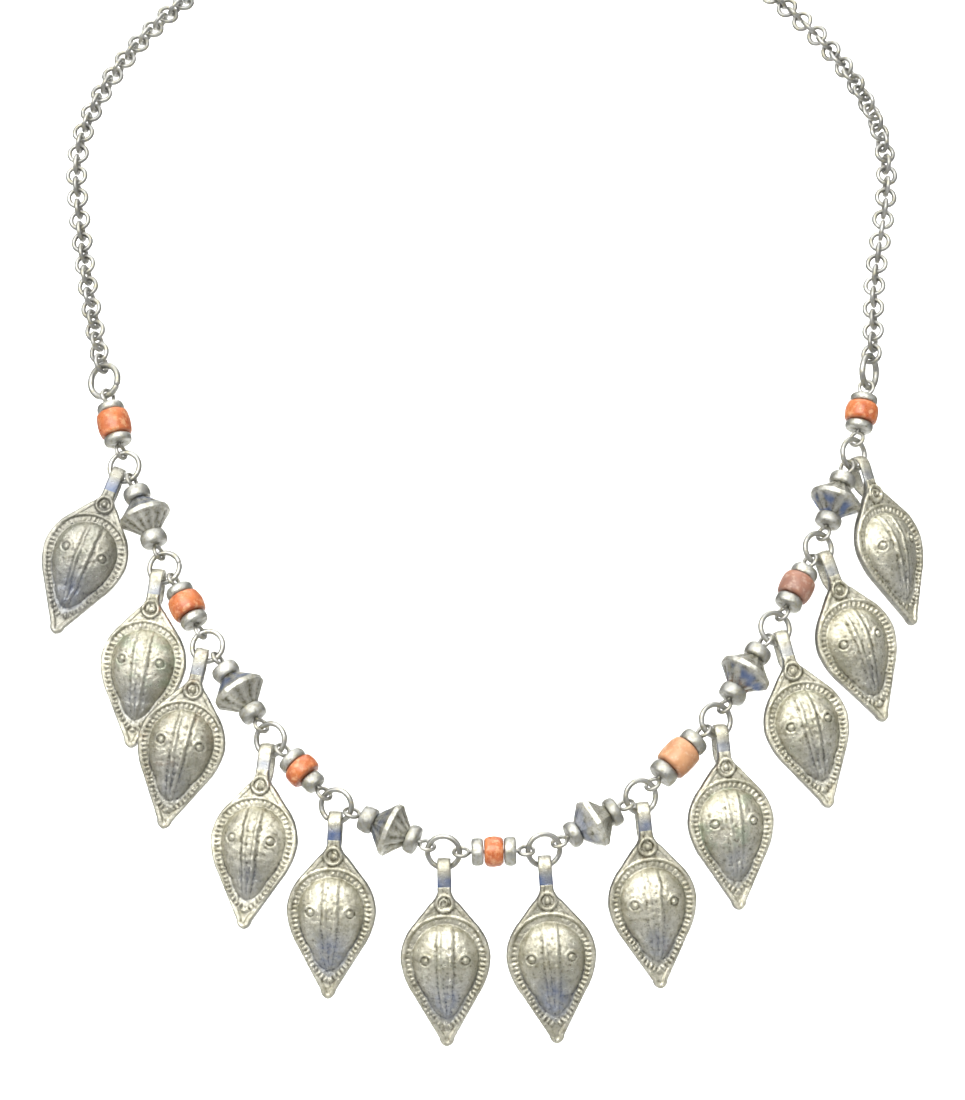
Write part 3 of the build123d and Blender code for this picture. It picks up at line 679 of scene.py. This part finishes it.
def leaf_front(look, seed):
    """Height of the front above the plaque's back, and the tones of its surface."""
    flat = np.stack([front_x, 0 * front_x, front_z], -1)
    coarse = grid_rough(flat, 0.45, seed)
    medium = grid_rough(flat, 1.3, seed + 20)
    fine = grid_rough(flat, 3.2, seed + 40)
    bars = border_bars(look, seed, coarse, medium)
    field = plaque_relief(bars)
    field = np.where(dome_height > 0, np.maximum(field, dome_relief(look, coarse, medium)), field)
    field = np.maximum(field, ROUNDEL_SEAT * ease(np.hypot(front_x, front_z), 1.62, 1.45))
    field += roundel_field(look.roundel)
    inside = ease(edge_apart, 0.1, 0.6)
    on_dome = ease(outside_dome, 0.1, -0.4)
    cast = (0.075 * medium + 0.055 * fine) * (0.35 + 0.65 * on_dome)
    field += inside * (0.05 * coarse + cast)
    return field, front_tones(look, field, bars, inside, coarse, medium, fine)


def leaf_body(look, seed):
    """The plaque with its dome, as rows of closed loops from the neck to the tip."""
    field, tones = leaf_front(look, seed)
    front = np.stack([front_x, -field, front_z], -1)
    back_spread = np.linspace(0.985, -0.985, BACK_COLUMNS)
    back_x = row_half[:, None] * back_spread[None, :]
    back_z = np.repeat(leaf_heights[:, None], BACK_COLUMNS, 1)
    half = half_width_at(back_z, hollow_line)
    hollow = (dome_depth - DOME_WALL) / (dome_half - DOME_WALL) * np.sqrt(np.maximum(half**2 - back_x**2, 0))
    neck = np.clip((back_z - NECK_RISE + 0.2) * 0.5, 0, 0.42)
    back = np.stack([back_x, -np.maximum(hollow, neck), back_z], -1)
    points = np.concatenate([front, back], 1)
    back_tones = {"low": 0.30 + 0.3 * (hollow > 0), "dark": 0.35 + 0 * hollow}
    values = {name: np.concatenate([tones[name], back_tones.get(name, 0 * hollow)], 1) for name in TONES}
    return chunk(points, capped_faces(LEAF_ROWS, FRONT_COLUMNS + BACK_COLUMNS), **values)


# The strap's middle line below its bend: how far forward or back of its straight run, and up
BAIL_FRONT = ((0.10, -0.6), (0.05, 0.6), (0, 1.6), (0, 2.6), (0, 3.6), (0, 4.5))
BAIL_BACK = ((0, 4.3), (0, 3.4), (0, 2.6), (-0.12, BAIL_KNEE), (-0.62, 1.05), (-1.20, 0.25), (-1.66, -0.45),
             (-1.92, -1.1))


def bail_path():
    """The strap's middle line, seen from the side, from the roundel over to the back."""
    radius = bail_outer_radius - STRAP_THICKNESS / 2
    front, back = bail_centre_y - radius, bail_centre_y + radius
    path = [(front + out, up) for out, up in BAIL_FRONT]
    bend = np.linspace(0, pi, 17)
    path += [(bail_centre_y - radius * cos(a), bail_centre_z + radius * sin(a)) for a in bend]
    path += [(back + out, up) for out, up in BAIL_BACK]
    return np.array(path)


def bail(look, seed):
    """The strap: flat inside and crowned outside, wider where it leaves the plaque."""
    path = bail_path()
    ways = unit_rows(np.gradient(path, axis=0))
    out = np.stack([-ways[:, 1], ways[:, 0]], -1)
    count = len(path)
    share = np.arange(count) / (count - 1)
    half = strap_half * (1.0 - 0.03 * np.sin(share * pi)) * (1 - 0.25 * ease(share, 0.85, 1.0))
    across = np.linspace(-1, 1, 9)
    crown = 0.5 - 0.26 * np.abs(across) ** 3
    section = list(zip(across, crown))
    section += [(u * 0.97, -0.5 + 0.12 * abs(u) ** 4) for u in across[::-1]]
    section = np.array(section)
    thickness = np.full(count, STRAP_THICKNESS) * (1 - 0.3 * ease(share, 0.9, 1.0))
    x = half[:, None] * section[None, :, 0]
    lift = thickness[:, None] * section[None, :, 1]
    y = path[:, None, 0] + out[:, None, 0] * lift
    z = path[:, None, 1] + out[:, None, 1] * lift
    points = np.stack([x, y, z], -1)
    flat = points.reshape(-1, 3)
    bumps = rough(flat, 1.1, seed + 60) * 0.03
    flat = flat + np.stack([0 * bumps, bumps, bumps], -1)
    on_front = (y < 0.2).ravel()
    patchy = 0.75 + 0.5 * rough(flat, 0.8, seed + 65)
    up = z.ravel()
    # Painted blue reflection on the lower part of the strap's front, faint on the rest of the strap
    blue = look.blue * patchy * np.where(on_front, 1.15 * ease(up, 5.2, 3.4) * ease(up, 1.0, 1.6), 0.25)
    rust = look.rust * ease(rough(flat, 0.9, seed + 70), 0.0, 0.35) * ease(up, 3.5, 6.0)
    # Painted shade along the strap's two edges, and how much darker the whole charm is
    dark = np.maximum(0.5 * ease(np.abs(section[None, :, 0]) + 0 * x, 0.80, 1.0).ravel(), look.shade)
    return chunk(flat, capped_faces(count, len(section)), blue=blue, rust=rust, dark=dark)


# Beads and caps, made along Z

def filled(profile, step):
    """A closed profile with points added, about a step apart."""
    line = []
    for (r0, h0), (r1, h1) in zip(profile, profile[1:] + profile[:1]):
        count = max(1, round(np.hypot(r1 - r0, h1 - h0) / step))
        line += [(r0 + (r1 - r0) * k / count, h0 + (h1 - h0) * k / count) for k in range(count)]
    return line


def rounded_disc(thickness, radius):
    """Profile of a disc with a bulging rim and soft edges."""
    half = thickness / 2
    flat = radius - CAP_ROUNDING
    rim = [(flat + CAP_ROUNDING * cos(a) ** 0.8, half * sin(a)) for a in np.radians(np.linspace(-66, 66, 13))]
    lower = [(bore_radius, -half + 0.05), (bore_radius + DISC_EDGE, -half), (flat - DISC_EDGE, -half)]
    return lower + rim + [(r, -h) for r, h in lower[::-1]]


def make_cap(thickness, diameter, seed, dark):
    """A worn disc at the end of a bead."""
    def shape(r, height, angle):
        points = round_points(r, angle, height)
        outer = ease(r, bore_radius + 0.1, bore_radius + 0.6)
        bumps = grid_rough(points, 0.5, seed) * 0.10 + grid_rough(points, 1.7, seed + 9) * 0.035
        pits = grid_rough(points, 2.8, seed + 5)
        low = 0.5 * ease(pits, 0.25, 0.6) + 0.6 * (1 - ease(r, bore_radius + 0.1, diameter / 2 - 0.35))
        return r + outer * (bumps - 0.04), {"low": np.clip(low, 0, 1), "dark": dark + 0 * r}
    return drilled(filled(rounded_disc(thickness, diameter / 2), 0.3), CAP_SIDES, shape)


def make_coral(length, diameter, seed):
    """A coral barrel with uneven sides and chipped ends."""
    half, radius = length / 2, diameter / 2
    side = [(radius - CORAL_BULGE * (h / half) ** 2 - CORAL_EDGE * ease(abs(h), half - CORAL_EDGE, half), h)
            for h in np.linspace(-half, half, 17)]
    flat = [(bore_radius, -half), (radius * 0.5, -half)]
    profile = flat + side + [(r, -h) for r, h in flat[::-1]]

    def shape(r, height, angle):
        points = round_points(r, angle, height)
        end = np.abs(height)
        outer = ease(r, bore_radius + 0.2, bore_radius + 1.0)
        bumps = grid_rough(points, 0.35, seed) * 0.10 + grid_rough(points, 1.2, seed + 3) * 0.03
        chips = ease(grid_rough(points, 1.1, seed + 7), 0.35, 0.6) * ease(end, half - 0.7, half)
        low = np.clip(chips + ease(end, half - 0.18, half) * 0.6, 0, 1)
        return r + outer * (bumps - 0.05 - 0.14 * chips), {"low": low}
    return drilled(filled(profile, 0.35), CORAL_SIDES, shape)


def make_bicone(length, diameter, look, seed, faceted):
    """A double cone with a narrow middle band, and flutes or flat faces on both sides."""
    flutes, depth, turn, rust, dark, blue = look
    half, radius, end = length / 2, diameter / 2, BICONE_END / 2
    edge = BICONE_EDGE / 2
    cone = [(end + (radius - end) * t, -half + (half - edge) * t) for t in np.linspace(0, 1, 18)]
    rim = [(radius + 0.10 * cos(a) - 0.10, edge * sin(a)) for a in np.radians((-50, 0, 50))]
    lower = [(bore_radius, -half + 0.06), (bore_radius + 0.25, -half)] + cone
    profile = lower + rim + [(r, -h) for r, h in lower[::-1]]

    def shape(r, height, angle):
        points = round_points(r, angle, height)
        share = ease(r, bore_radius + 0.3, end)
        on_cone = ease(np.abs(height), edge * 0.9, edge + 0.35)
        wave = ((angle + radians(turn)) * flutes / (2 * pi)) % 1.0
        across = np.abs(wave - 0.5) * 2
        bumps = grid_rough(points, 0.6, seed)
        grain = grid_rough(points, 2.6, seed + 11)
        if faceted:
            apex = np.cos(pi / flutes) / np.cos((wave - 0.5) * 2 * pi / flutes)
            middle = np.exp(-(across / 0.45) ** 2 - ((r - 0.68 * radius) / 0.75) ** 2)
            new = r * (1 + share * (apex - 1)) - share * on_cone * 0.22 * middle
            low = 0.8 * middle * on_cone + 0.35 * ease(grain, 0.1, 0.5)
        else:
            trough = np.sqrt(np.clip(1 - across**2, 0, 1))
            fade = 0.25 + 0.75 * on_cone
            new = r - share * depth * trough * fade * ease(r, bore_radius + 0.2, end + 0.6)
            low = 0.75 * trough**6 * on_cone + 0.25 * ease(grain, 0.1, 0.5)
        new = new + share * (0.05 * bumps + 0.02 * grain - 0.03)
        low = np.clip(low + 0.6 * (1 - ease(r, bore_radius + 0.2, end + 0.1)), 0, 1)
        # One cone, the one nearer the pin's start, gets painted shade and a painted blue reflection, and rust
        # near its narrow end; a dark tone lies lightly over the whole bead
        side = ease(height, -0.3, -1.5)
        tones = {"low": low, "rust": rust * ease(r, end + 1.2, end) * side, "dark": dark * (0.4 + 0.6 * side),
                 "blue": blue * side * ease(bumps, -0.3, 0.3)}
        return new, tones
    return drilled(profile, FACETED_SIDES if faceted else FLUTED_SIDES, shape)


# Materials

def new_tree(name):
    """A material with its node tree and its shader."""
    material = bpy.data.materials.new(name)
    material.use_nodes = True
    tree = material.node_tree
    return material, tree, tree.nodes["Principled BSDF"]


def set_inputs(tree, node, inputs):
    """Inputs of a node set to values or linked from sockets."""
    for key, value in inputs.items():
        if isinstance(value, bpy.types.NodeSocket):
            tree.links.new(value, node.inputs[key])
        else:
            node.inputs[key].default_value = value


def add_node(tree, kind, inputs=None, **settings):
    """A node with its settings and its inputs."""
    made = tree.nodes.new(kind)
    for key, value in settings.items():
        setattr(made, key, value)
    set_inputs(tree, made, inputs or {})
    return made


def rgb(*values):
    """A colour with full alpha."""
    return (*values, 1.0)


def layered(tree, base, *layers):
    """A colour with others laid over it, each by its own factor."""
    base = rgb(*base)
    for factor, colour in layers:
        inputs = {0: factor, 6: base, 7: rgb(*colour)}
        base = add_node(tree, "ShaderNodeMix", inputs, data_type="RGBA").outputs[2]
    return base


def maths(tree, operation, first, second, clamp=False):
    """The result of one operation on two values."""
    inputs = {0: first, 1: second}
    return add_node(tree, "ShaderNodeMath", inputs, operation=operation, use_clamp=clamp).outputs[0]


def tone(tree, name, share):
    """The tone of this name that the mesh carries, times a share and held from 0 to 1."""
    carried = add_node(tree, "ShaderNodeAttribute", attribute_name=name).outputs["Fac"]
    return maths(tree, "MULTIPLY", carried, share, True)


def noises(tree, *rows):
    """Noises from 0 to 1 over the object, each by its scale, detail and roughness."""
    place = add_node(tree, "ShaderNodeTexCoord").outputs["Object"]
    made = [dict(zip(("Vector", "Scale", "Detail", "Roughness"), (place, *row))) for row in rows]
    return [add_node(tree, "ShaderNodeTexNoise", inputs).outputs["Fac"] for inputs in made]


def spread_value(tree, value, low, high, to_low=0.0, to_high=1.0):
    """A value stretched from one range to another and held inside it."""
    inputs = {"Value": value, "From Min": low, "From Max": high, "To Min": to_low, "To Max": to_high}
    return add_node(tree, "ShaderNodeMapRange", inputs, clamp=True).outputs[0]


def bump(tree, height, strength, distance):
    """Fine relief in the shading, under what the mesh itself shows."""
    inputs = {"Height": height, "Strength": strength, "Distance": distance}
    return add_node(tree, "ShaderNodeBump", inputs).outputs[0]


def silver(name, bright, shade, roughness, wear, grain):
    """Aged silver: bright where it is rubbed, olive-grey where it is low, with faint tarnish, and painted
    shade and a painted blue reflection where the mesh carries them.
    """
    material, tree, shader = new_tree(name)
    broad, medium, fine = noises(tree, (260.0, 3.0, 0.55), (1500.0, 5.0, 0.62), (4600.0, 4.0, 0.65))
    lowness = tone(tree, "low", spread_value(tree, medium, 0.32, 0.60, 0.35, 1.15))
    lowness = maths(tree, "MULTIPLY", lowness, wear, True)
    aged = layered(
        tree, bright,
        (spread_value(tree, broad, 0.38, 0.62), shade),
        (spread_value(tree, medium, 0.48, 0.64, 0.0, 0.65), (0.44, 0.41, 0.27)),
        (maths(tree, "MULTIPLY", lowness, 0.85), (0.115, 0.105, 0.065)),
        # Dark tone: painted shade along edges and on one cone of each bicone, and a darker tone on caps,
        # spacers, leaf backs and whole charms
        (tone(tree, "dark", 0.75), (0.17, 0.175, 0.19)),
        # Painted blue reflection
        (tone(tree, "blue", 0.95), (0.13, 0.19, 0.38)),
        (tone(tree, "green", 0.45), (0.30, 0.42, 0.30)),
        (tone(tree, "rust", spread_value(tree, medium, 0.38, 0.58)), (0.22, 0.10, 0.05)),
    )
    rubbed = spread_value(tree, medium, 0.35, 0.65, roughness - 0.06, roughness + 0.12)
    dulled = maths(tree, "ADD", rubbed, maths(tree, "MULTIPLY", lowness, 0.25))
    pits = spread_value(tree, fine, 0.35, 0.75)
    height = maths(tree, "ADD", maths(tree, "MULTIPLY", medium, 1.3), maths(tree, "MULTIPLY", pits, grain))
    set_inputs(tree, shader, {"Base Color": aged, "Metallic": 1.0, "Roughness": dulled,
                              "Normal": bump(tree, height, 0.55, 0.00011)})
    return material


def coral(name, bright, deep, pale, roughness):
    """Polished coral: faint bands and pale flecks, chipped and darker at its ends."""
    material, tree, shader = new_tree(name)
    broad, medium, fine = noises(tree, (320.0, 4.0, 0.55), (1100.0, 5.0, 0.6), (4200.0, 3.0, 0.6))
    flecked = layered(
        tree, bright,
        (spread_value(tree, broad, 0.36, 0.64), deep),
        (spread_value(tree, medium, 0.51, 0.66, 0.0, 0.7), pale),
        (tone(tree, "low", 0.7), (0.20, 0.07, 0.04)),
        (spread_value(tree, fine, 0.66, 0.76, 0.0, 0.5), (0.28, 0.08, 0.04)),
    )
    rubbed = spread_value(tree, medium, 0.35, 0.65, roughness - 0.08, roughness + 0.10)
    height = maths(tree, "ADD", maths(tree, "MULTIPLY", medium, 0.8), maths(tree, "MULTIPLY", fine, 0.4))
    set_inputs(tree, shader, {
        "Base Color": flecked,
        "Roughness": rubbed,
        "Subsurface Weight": 0.12,
        "Subsurface Radius": (0.0012, 0.0005, 0.0003),
        "Specular IOR Level": 0.55,
        "Coat Weight": 0.25,
        "Coat Roughness": 0.18,
        "Normal": bump(tree, height, 0.22, 0.00010),
    })
    return material


SILVERS = [
    # name, bright, shade, roughness, wear, grain
    ("leaf_silver", (0.86, 0.835, 0.71), (0.60, 0.58, 0.47), 0.31, 1.0, 0.8),
    ("ring_silver", (0.54, 0.54, 0.52), (0.38, 0.38, 0.365), 0.34, 0.8, 0.3),
    ("pin_silver", (0.54, 0.535, 0.51), (0.38, 0.375, 0.35), 0.34, 0.8, 0.3),
    ("bicone_silver", (0.84, 0.835, 0.77), (0.60, 0.595, 0.54), 0.32, 1.0, 0.7),
    ("spacer_silver", (0.68, 0.68, 0.64), (0.46, 0.46, 0.43), 0.34, 1.0, 0.6),
    ("cap_silver", (0.66, 0.66, 0.62), (0.46, 0.46, 0.43), 0.34, 1.0, 0.6),
    ("chain_silver", (0.50, 0.50, 0.485), (0.33, 0.33, 0.32), 0.36, 0.8, 0.3),
    ("clasp_silver", (0.56, 0.555, 0.53), (0.38, 0.375, 0.36), 0.27, 0.8, 0.3),
]
CORALS = [
    # name, bright, deep, pale, roughness
    ("coral", (0.68, 0.21, 0.065), (0.47, 0.105, 0.032), (0.82, 0.46, 0.24), 0.34),
    ("tan_coral", (0.66, 0.34, 0.17), (0.50, 0.22, 0.10), (0.70, 0.50, 0.33), 0.42),
    ("brown_coral", (0.44, 0.20, 0.12), (0.30, 0.15, 0.11), (0.55, 0.38, 0.30), 0.48),
]
MATERIALS = {row[0]: silver(*row) for row in SILVERS} | {row[0]: coral(*row) for row in CORALS}
ODD_CORALS = {5: "tan_coral", 6: "brown_coral"}
CAP_DARK, SPACER_DARK = 0.15, 0.25

# The leaf charms
for k, row in enumerate(LEAF_LOOKS):
    look = LeafLook(*row)
    name = f"leaf_{k + 1:02d}"
    place = leaf_matrix(k)
    parts = [moved(leaf_body(look, k + 1), place), moved(bail(look, k + 1), place)]
    make_object("charm_" + name, parts, "leaf_silver", name)

# The jump rings, each with a joint
for k in range(LAST_END + 1):
    mean, thickness = ring_sizes(k)
    normal = ring_normal(k)
    first = flattened(UP, normal)
    gap = degrees(0.42 * thickness / mean) * 0.5 + 0.5
    start, end = RING_JOINTS[k] + gap, RING_JOINTS[k] + 360 - gap
    path = circle_path(CENTRES[k], first, normal, mean, start, end, RING_STEPS)
    wire = wire_tube(path, normal, thickness / 2, RING_SIDES, k, 0.05)
    make_object(f"wire_ring_{k:02d}", [wire], "ring_silver", f"ring_{k:02d}")

# The pins, with the eyes bent round from the shank, between these angles from it
EYE_ANGLES = (20, 352)
for k in range(LAST_END):
    way = pin_ways[k]
    first = pin_start(k) + way * eye_mean
    last = pin_start(k) + way * (pin_span(k) - eye_mean)
    parts = []
    for centre, inward, ring in ((first, way, k), (last, -way, k + 1)):
        normal = turned(ring_normal(ring).cross(way).normalized(), way, EYE_TURN)
        path = circle_path(centre, inward, normal, eye_mean, *EYE_ANGLES, EYE_STEPS)
        parts.append(wire_tube(path, normal, PIN_WIRE / 2, PIN_SIDES, k, 0.04))
    in_eye = eye_mean / (last - first).length
    shank = [first + (last - first) * t for t in np.linspace(in_eye, 1 - in_eye, SHANK_STEPS)]
    parts.append(wire_tube(shank, flattened(UP + way * 0.01, way), PIN_WIRE / 2, PIN_SIDES, k, 0.04))
    make_object(f"wire_pin_{k + 1:02d}", parts, "pin_silver", f"pin_{k + 1:02d}")

# The beads and their caps
coral_caps, spacers = [], []
corals = bicones = 0
for k, row in enumerate(LINKS):
    is_coral = row[0] == CORAL
    length, diameter, caps = bead_sizes(k)
    place = on_pin(k, caps[0][0] + FACE_GAP + length / 2)
    if is_coral:
        corals += 1
        name, slot = f"coral_{corals:02d}", ODD_CORALS.get(corals, "coral")
        bead = moved(make_coral(length, diameter, k), place)
        make_object("barrel_" + name, [bead], slot, name)
    else:
        bicones += 1
        name = f"bicone_{bicones:02d}"
        bead = moved(make_bicone(length, diameter, BICONE_LOOKS[bicones - 1], k, row[0] == FACETED), place)
        make_object("turned_" + name, [bead], "bicone_silver", name)
    middles = (caps[0][0] / 2, stack_length(k) - caps[1][0] / 2)
    for n, (size, middle) in enumerate(zip(caps, middles)):
        cap = make_cap(*size, 2 * k + n, CAP_DARK if is_coral else SPACER_DARK)
        (coral_caps if is_coral else spacers).append(moved(cap, on_pin(k, middle)))
make_object("disc_coral_caps", coral_caps, "cap_silver", "coral_caps")
make_object("disc_bicone_spacers", spacers, "spacer_silver", "bicone_spacers")


# The chain, with each link where its solid is

def separate_solids(node):
    """The points of each loose solid in a CAD node."""
    body = bmesh.new()
    body.from_mesh(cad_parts[node].data)
    bmesh.ops.remove_doubles(body, verts=body.verts, dist=2e-6)
    body.verts.index_update()
    seen, groups = set(), []
    for first in body.verts:
        if first in seen:
            continue
        seen.add(first)
        reached = [first]
        for vert in reached:
            others = {edge.other_vert(vert) for edge in vert.link_edges} - seen
            reached += sorted(others, key=lambda other: other.index)
            seen |= others
        groups.append(np.array([v.co / MM for v in reached]))
    body.free()
    return groups


for node in ("chain_left", "chain_right"):
    links = []
    for k, points in enumerate(separate_solids(node)):
        centre = points.mean(0)
        ways = np.linalg.svd(points - centre, full_matrices=False)[2]
        normal, first = Vector(ways[2]).normalized(), Vector(ways[0]).normalized()
        first = flattened(first, normal)
        path = circle_path(Vector(centre), first, normal, link_mean, 0, 360 - 360 / LINK_STEPS, LINK_STEPS)
        links.append(wire_tube(path, normal, LINK_WIRE / 2, LINK_SIDES, k, 0.06, closed=True))
    make_object("links_" + node, links, "chain_silver", node)

# The clasp
clasp_centre = clasp_mean * 2
leaving = acos(clasp_mean / clasp_centre)
hook_angles = np.linspace(radians(CLASP_MOUTH), 2 * pi - leaving, HOOK_STEPS)
hook = [(-clasp_centre + clasp_mean * cos(a), clasp_mean * sin(a)) for a in hook_angles]
run = [(hook[-1][0] * (1 - 2 * t), hook[-1][1] * (1 - 2 * t)) for t in np.linspace(0.08, 0.92, RUN_STEPS)]
line = hook + run + [(-x, -z) for x, z in hook[::-1]]
wire = wire_tube([(x, 0, z) for x, z in line], (0, 1, 0), CLASP_WIRE / 2, CLASP_SIDES, 3, 0.04)
make_object("wire_clasp", [wire], "clasp_silver", "clasp")


# Floor, lights and camera

# Sizes from here on are in metres
FLOOR_Z, WALL_Y, BEND, HALF_WIDTH = -0.80, 2.9, 1.2, 3.6
FLOOR_FRONT, WALL_TOP = -2.6, 3.2
WORLD_STRENGTH = 0.62
SKY = [
    # position from straight down to straight up, colour
    (0.0, (0.10, 0.12, 0.24)),
    (0.38, (0.13, 0.14, 0.20)),
    (0.52, (0.24, 0.24, 0.23)),
    (0.80, (0.9, 0.9, 0.86)),
]
MIDDLE = (0.0, -0.09, -0.09)
LIGHTS = [
    # name, place, target, width and height, power, colour, spread
    ("key", (-0.25, -0.85, 0.62), MIDDLE, (1.3, 0.8), 7.8, (1.0, 0.99, 0.96), 120.0),
    ("fill", (0.95, -0.60, 0.10), MIDDLE, (0.5, 0.9), 1.3, (0.97, 0.98, 1.0), 180.0),
    ("side", (-0.95, -0.45, 0.0), MIDDLE, (0.5, 0.9), 1.6, (1.0, 0.99, 0.97), 180.0),
    ("top", (0.0, 0.15, 0.8), MIDDLE, (0.9, 0.7), 2.4, (1.0, 1.0, 1.0), 120.0),
    ("wall", (0.0, 1.2, 1.9), (0.0, 2.8, 0.0), (1.5, 0.9), 14.0, (1.0, 1.0, 1.0), 36.0),
    ("ground", (0.0, 1.4, 1.9), (0.0, 1.55, -0.8), (1.3, 1.6), 14.0, (1.0, 1.0, 1.0), 30.0),
]


def backdrop():
    """A pale floor that curves up into a wall far behind the necklace."""
    bend_y = WALL_Y - BEND
    line = [(FLOOR_FRONT, FLOOR_Z), (bend_y, FLOOR_Z)]
    line += [(bend_y + BEND * sin(a), FLOOR_Z + BEND - BEND * cos(a)) for a in np.linspace(0.1, pi / 2, 16)]
    line += [(WALL_Y, WALL_TOP)]
    points = [(x, y, z) for y, z in line for x in (-HALF_WIDTH, HALF_WIDTH)]
    floor = add_mesh("studio_floor", points, grid_faces(len(line), 2, closed_columns=False))
    material, tree, shader = new_tree("studio_paper")
    set_inputs(tree, shader, {"Base Color": rgb(0.90, 0.90, 0.90), "Roughness": 0.95})
    floor.data.materials.append(material)


def add_facing(name, data, place, target):
    """A new object in the scene that stands at a place and faces a target."""
    made = add_object(name, data)
    made.location = place
    made.rotation_euler = (Vector(target) - Vector(place)).to_track_quat("-Z", "Y").to_euler()
    return made


def area_light(name, place, target, size, power, colour, spread):
    """A soft lamp that faces its target."""
    light = bpy.data.lights.new(name, "AREA")
    light.shape = "RECTANGLE"
    light.size, light.size_y = size
    light.energy = power
    light.color = colour
    light.spread = radians(spread)
    add_facing(name, light, place, target)


def studio_world():
    """Soft light from all round: white above, grey with a touch of violet below."""
    world = bpy.data.worlds.new("studio_world")
    world.use_nodes = True
    bpy.context.scene.world = world
    tree = world.node_tree
    way = add_node(tree, "ShaderNodeTexCoord").outputs["Generated"]
    height = add_node(tree, "ShaderNodeSeparateXYZ", {0: way}).outputs["Z"]
    ramp = add_node(tree, "ShaderNodeValToRGB", {"Fac": maths(tree, "MULTIPLY_ADD", height, 0.5)})
    while len(ramp.color_ramp.elements) < len(SKY):
        ramp.color_ramp.elements.new(0.5)
    for element, (position, colour) in zip(ramp.color_ramp.elements, SKY):
        element.position = position
        element.color = rgb(*colour)
    set_inputs(tree, tree.nodes["Background"], {"Color": ramp.outputs[0], "Strength": WORLD_STRENGTH})


backdrop()
studio_world()
for row in LIGHTS:
    area_light(*row)

AIM = Vector((0.00017, -0.112, -0.10125))
DISTANCE, ELEVATION = 0.45, radians(10.8)
LENS, SENSOR, NEAREST = 94.8, 36.0, 0.01
bpy.context.scene.view_settings.view_transform = "Standard"
camera_data = bpy.data.cameras.new("camera")
camera_data.sensor_fit = "VERTICAL"
camera_data.sensor_height = SENSOR
camera_data.lens = LENS
camera_data.clip_start = NEAREST
camera_place = AIM + Vector((0, -cos(ELEVATION), sin(ELEVATION))) * DISTANCE
bpy.context.scene.camera = add_facing("camera", camera_data, camera_place, AIM)
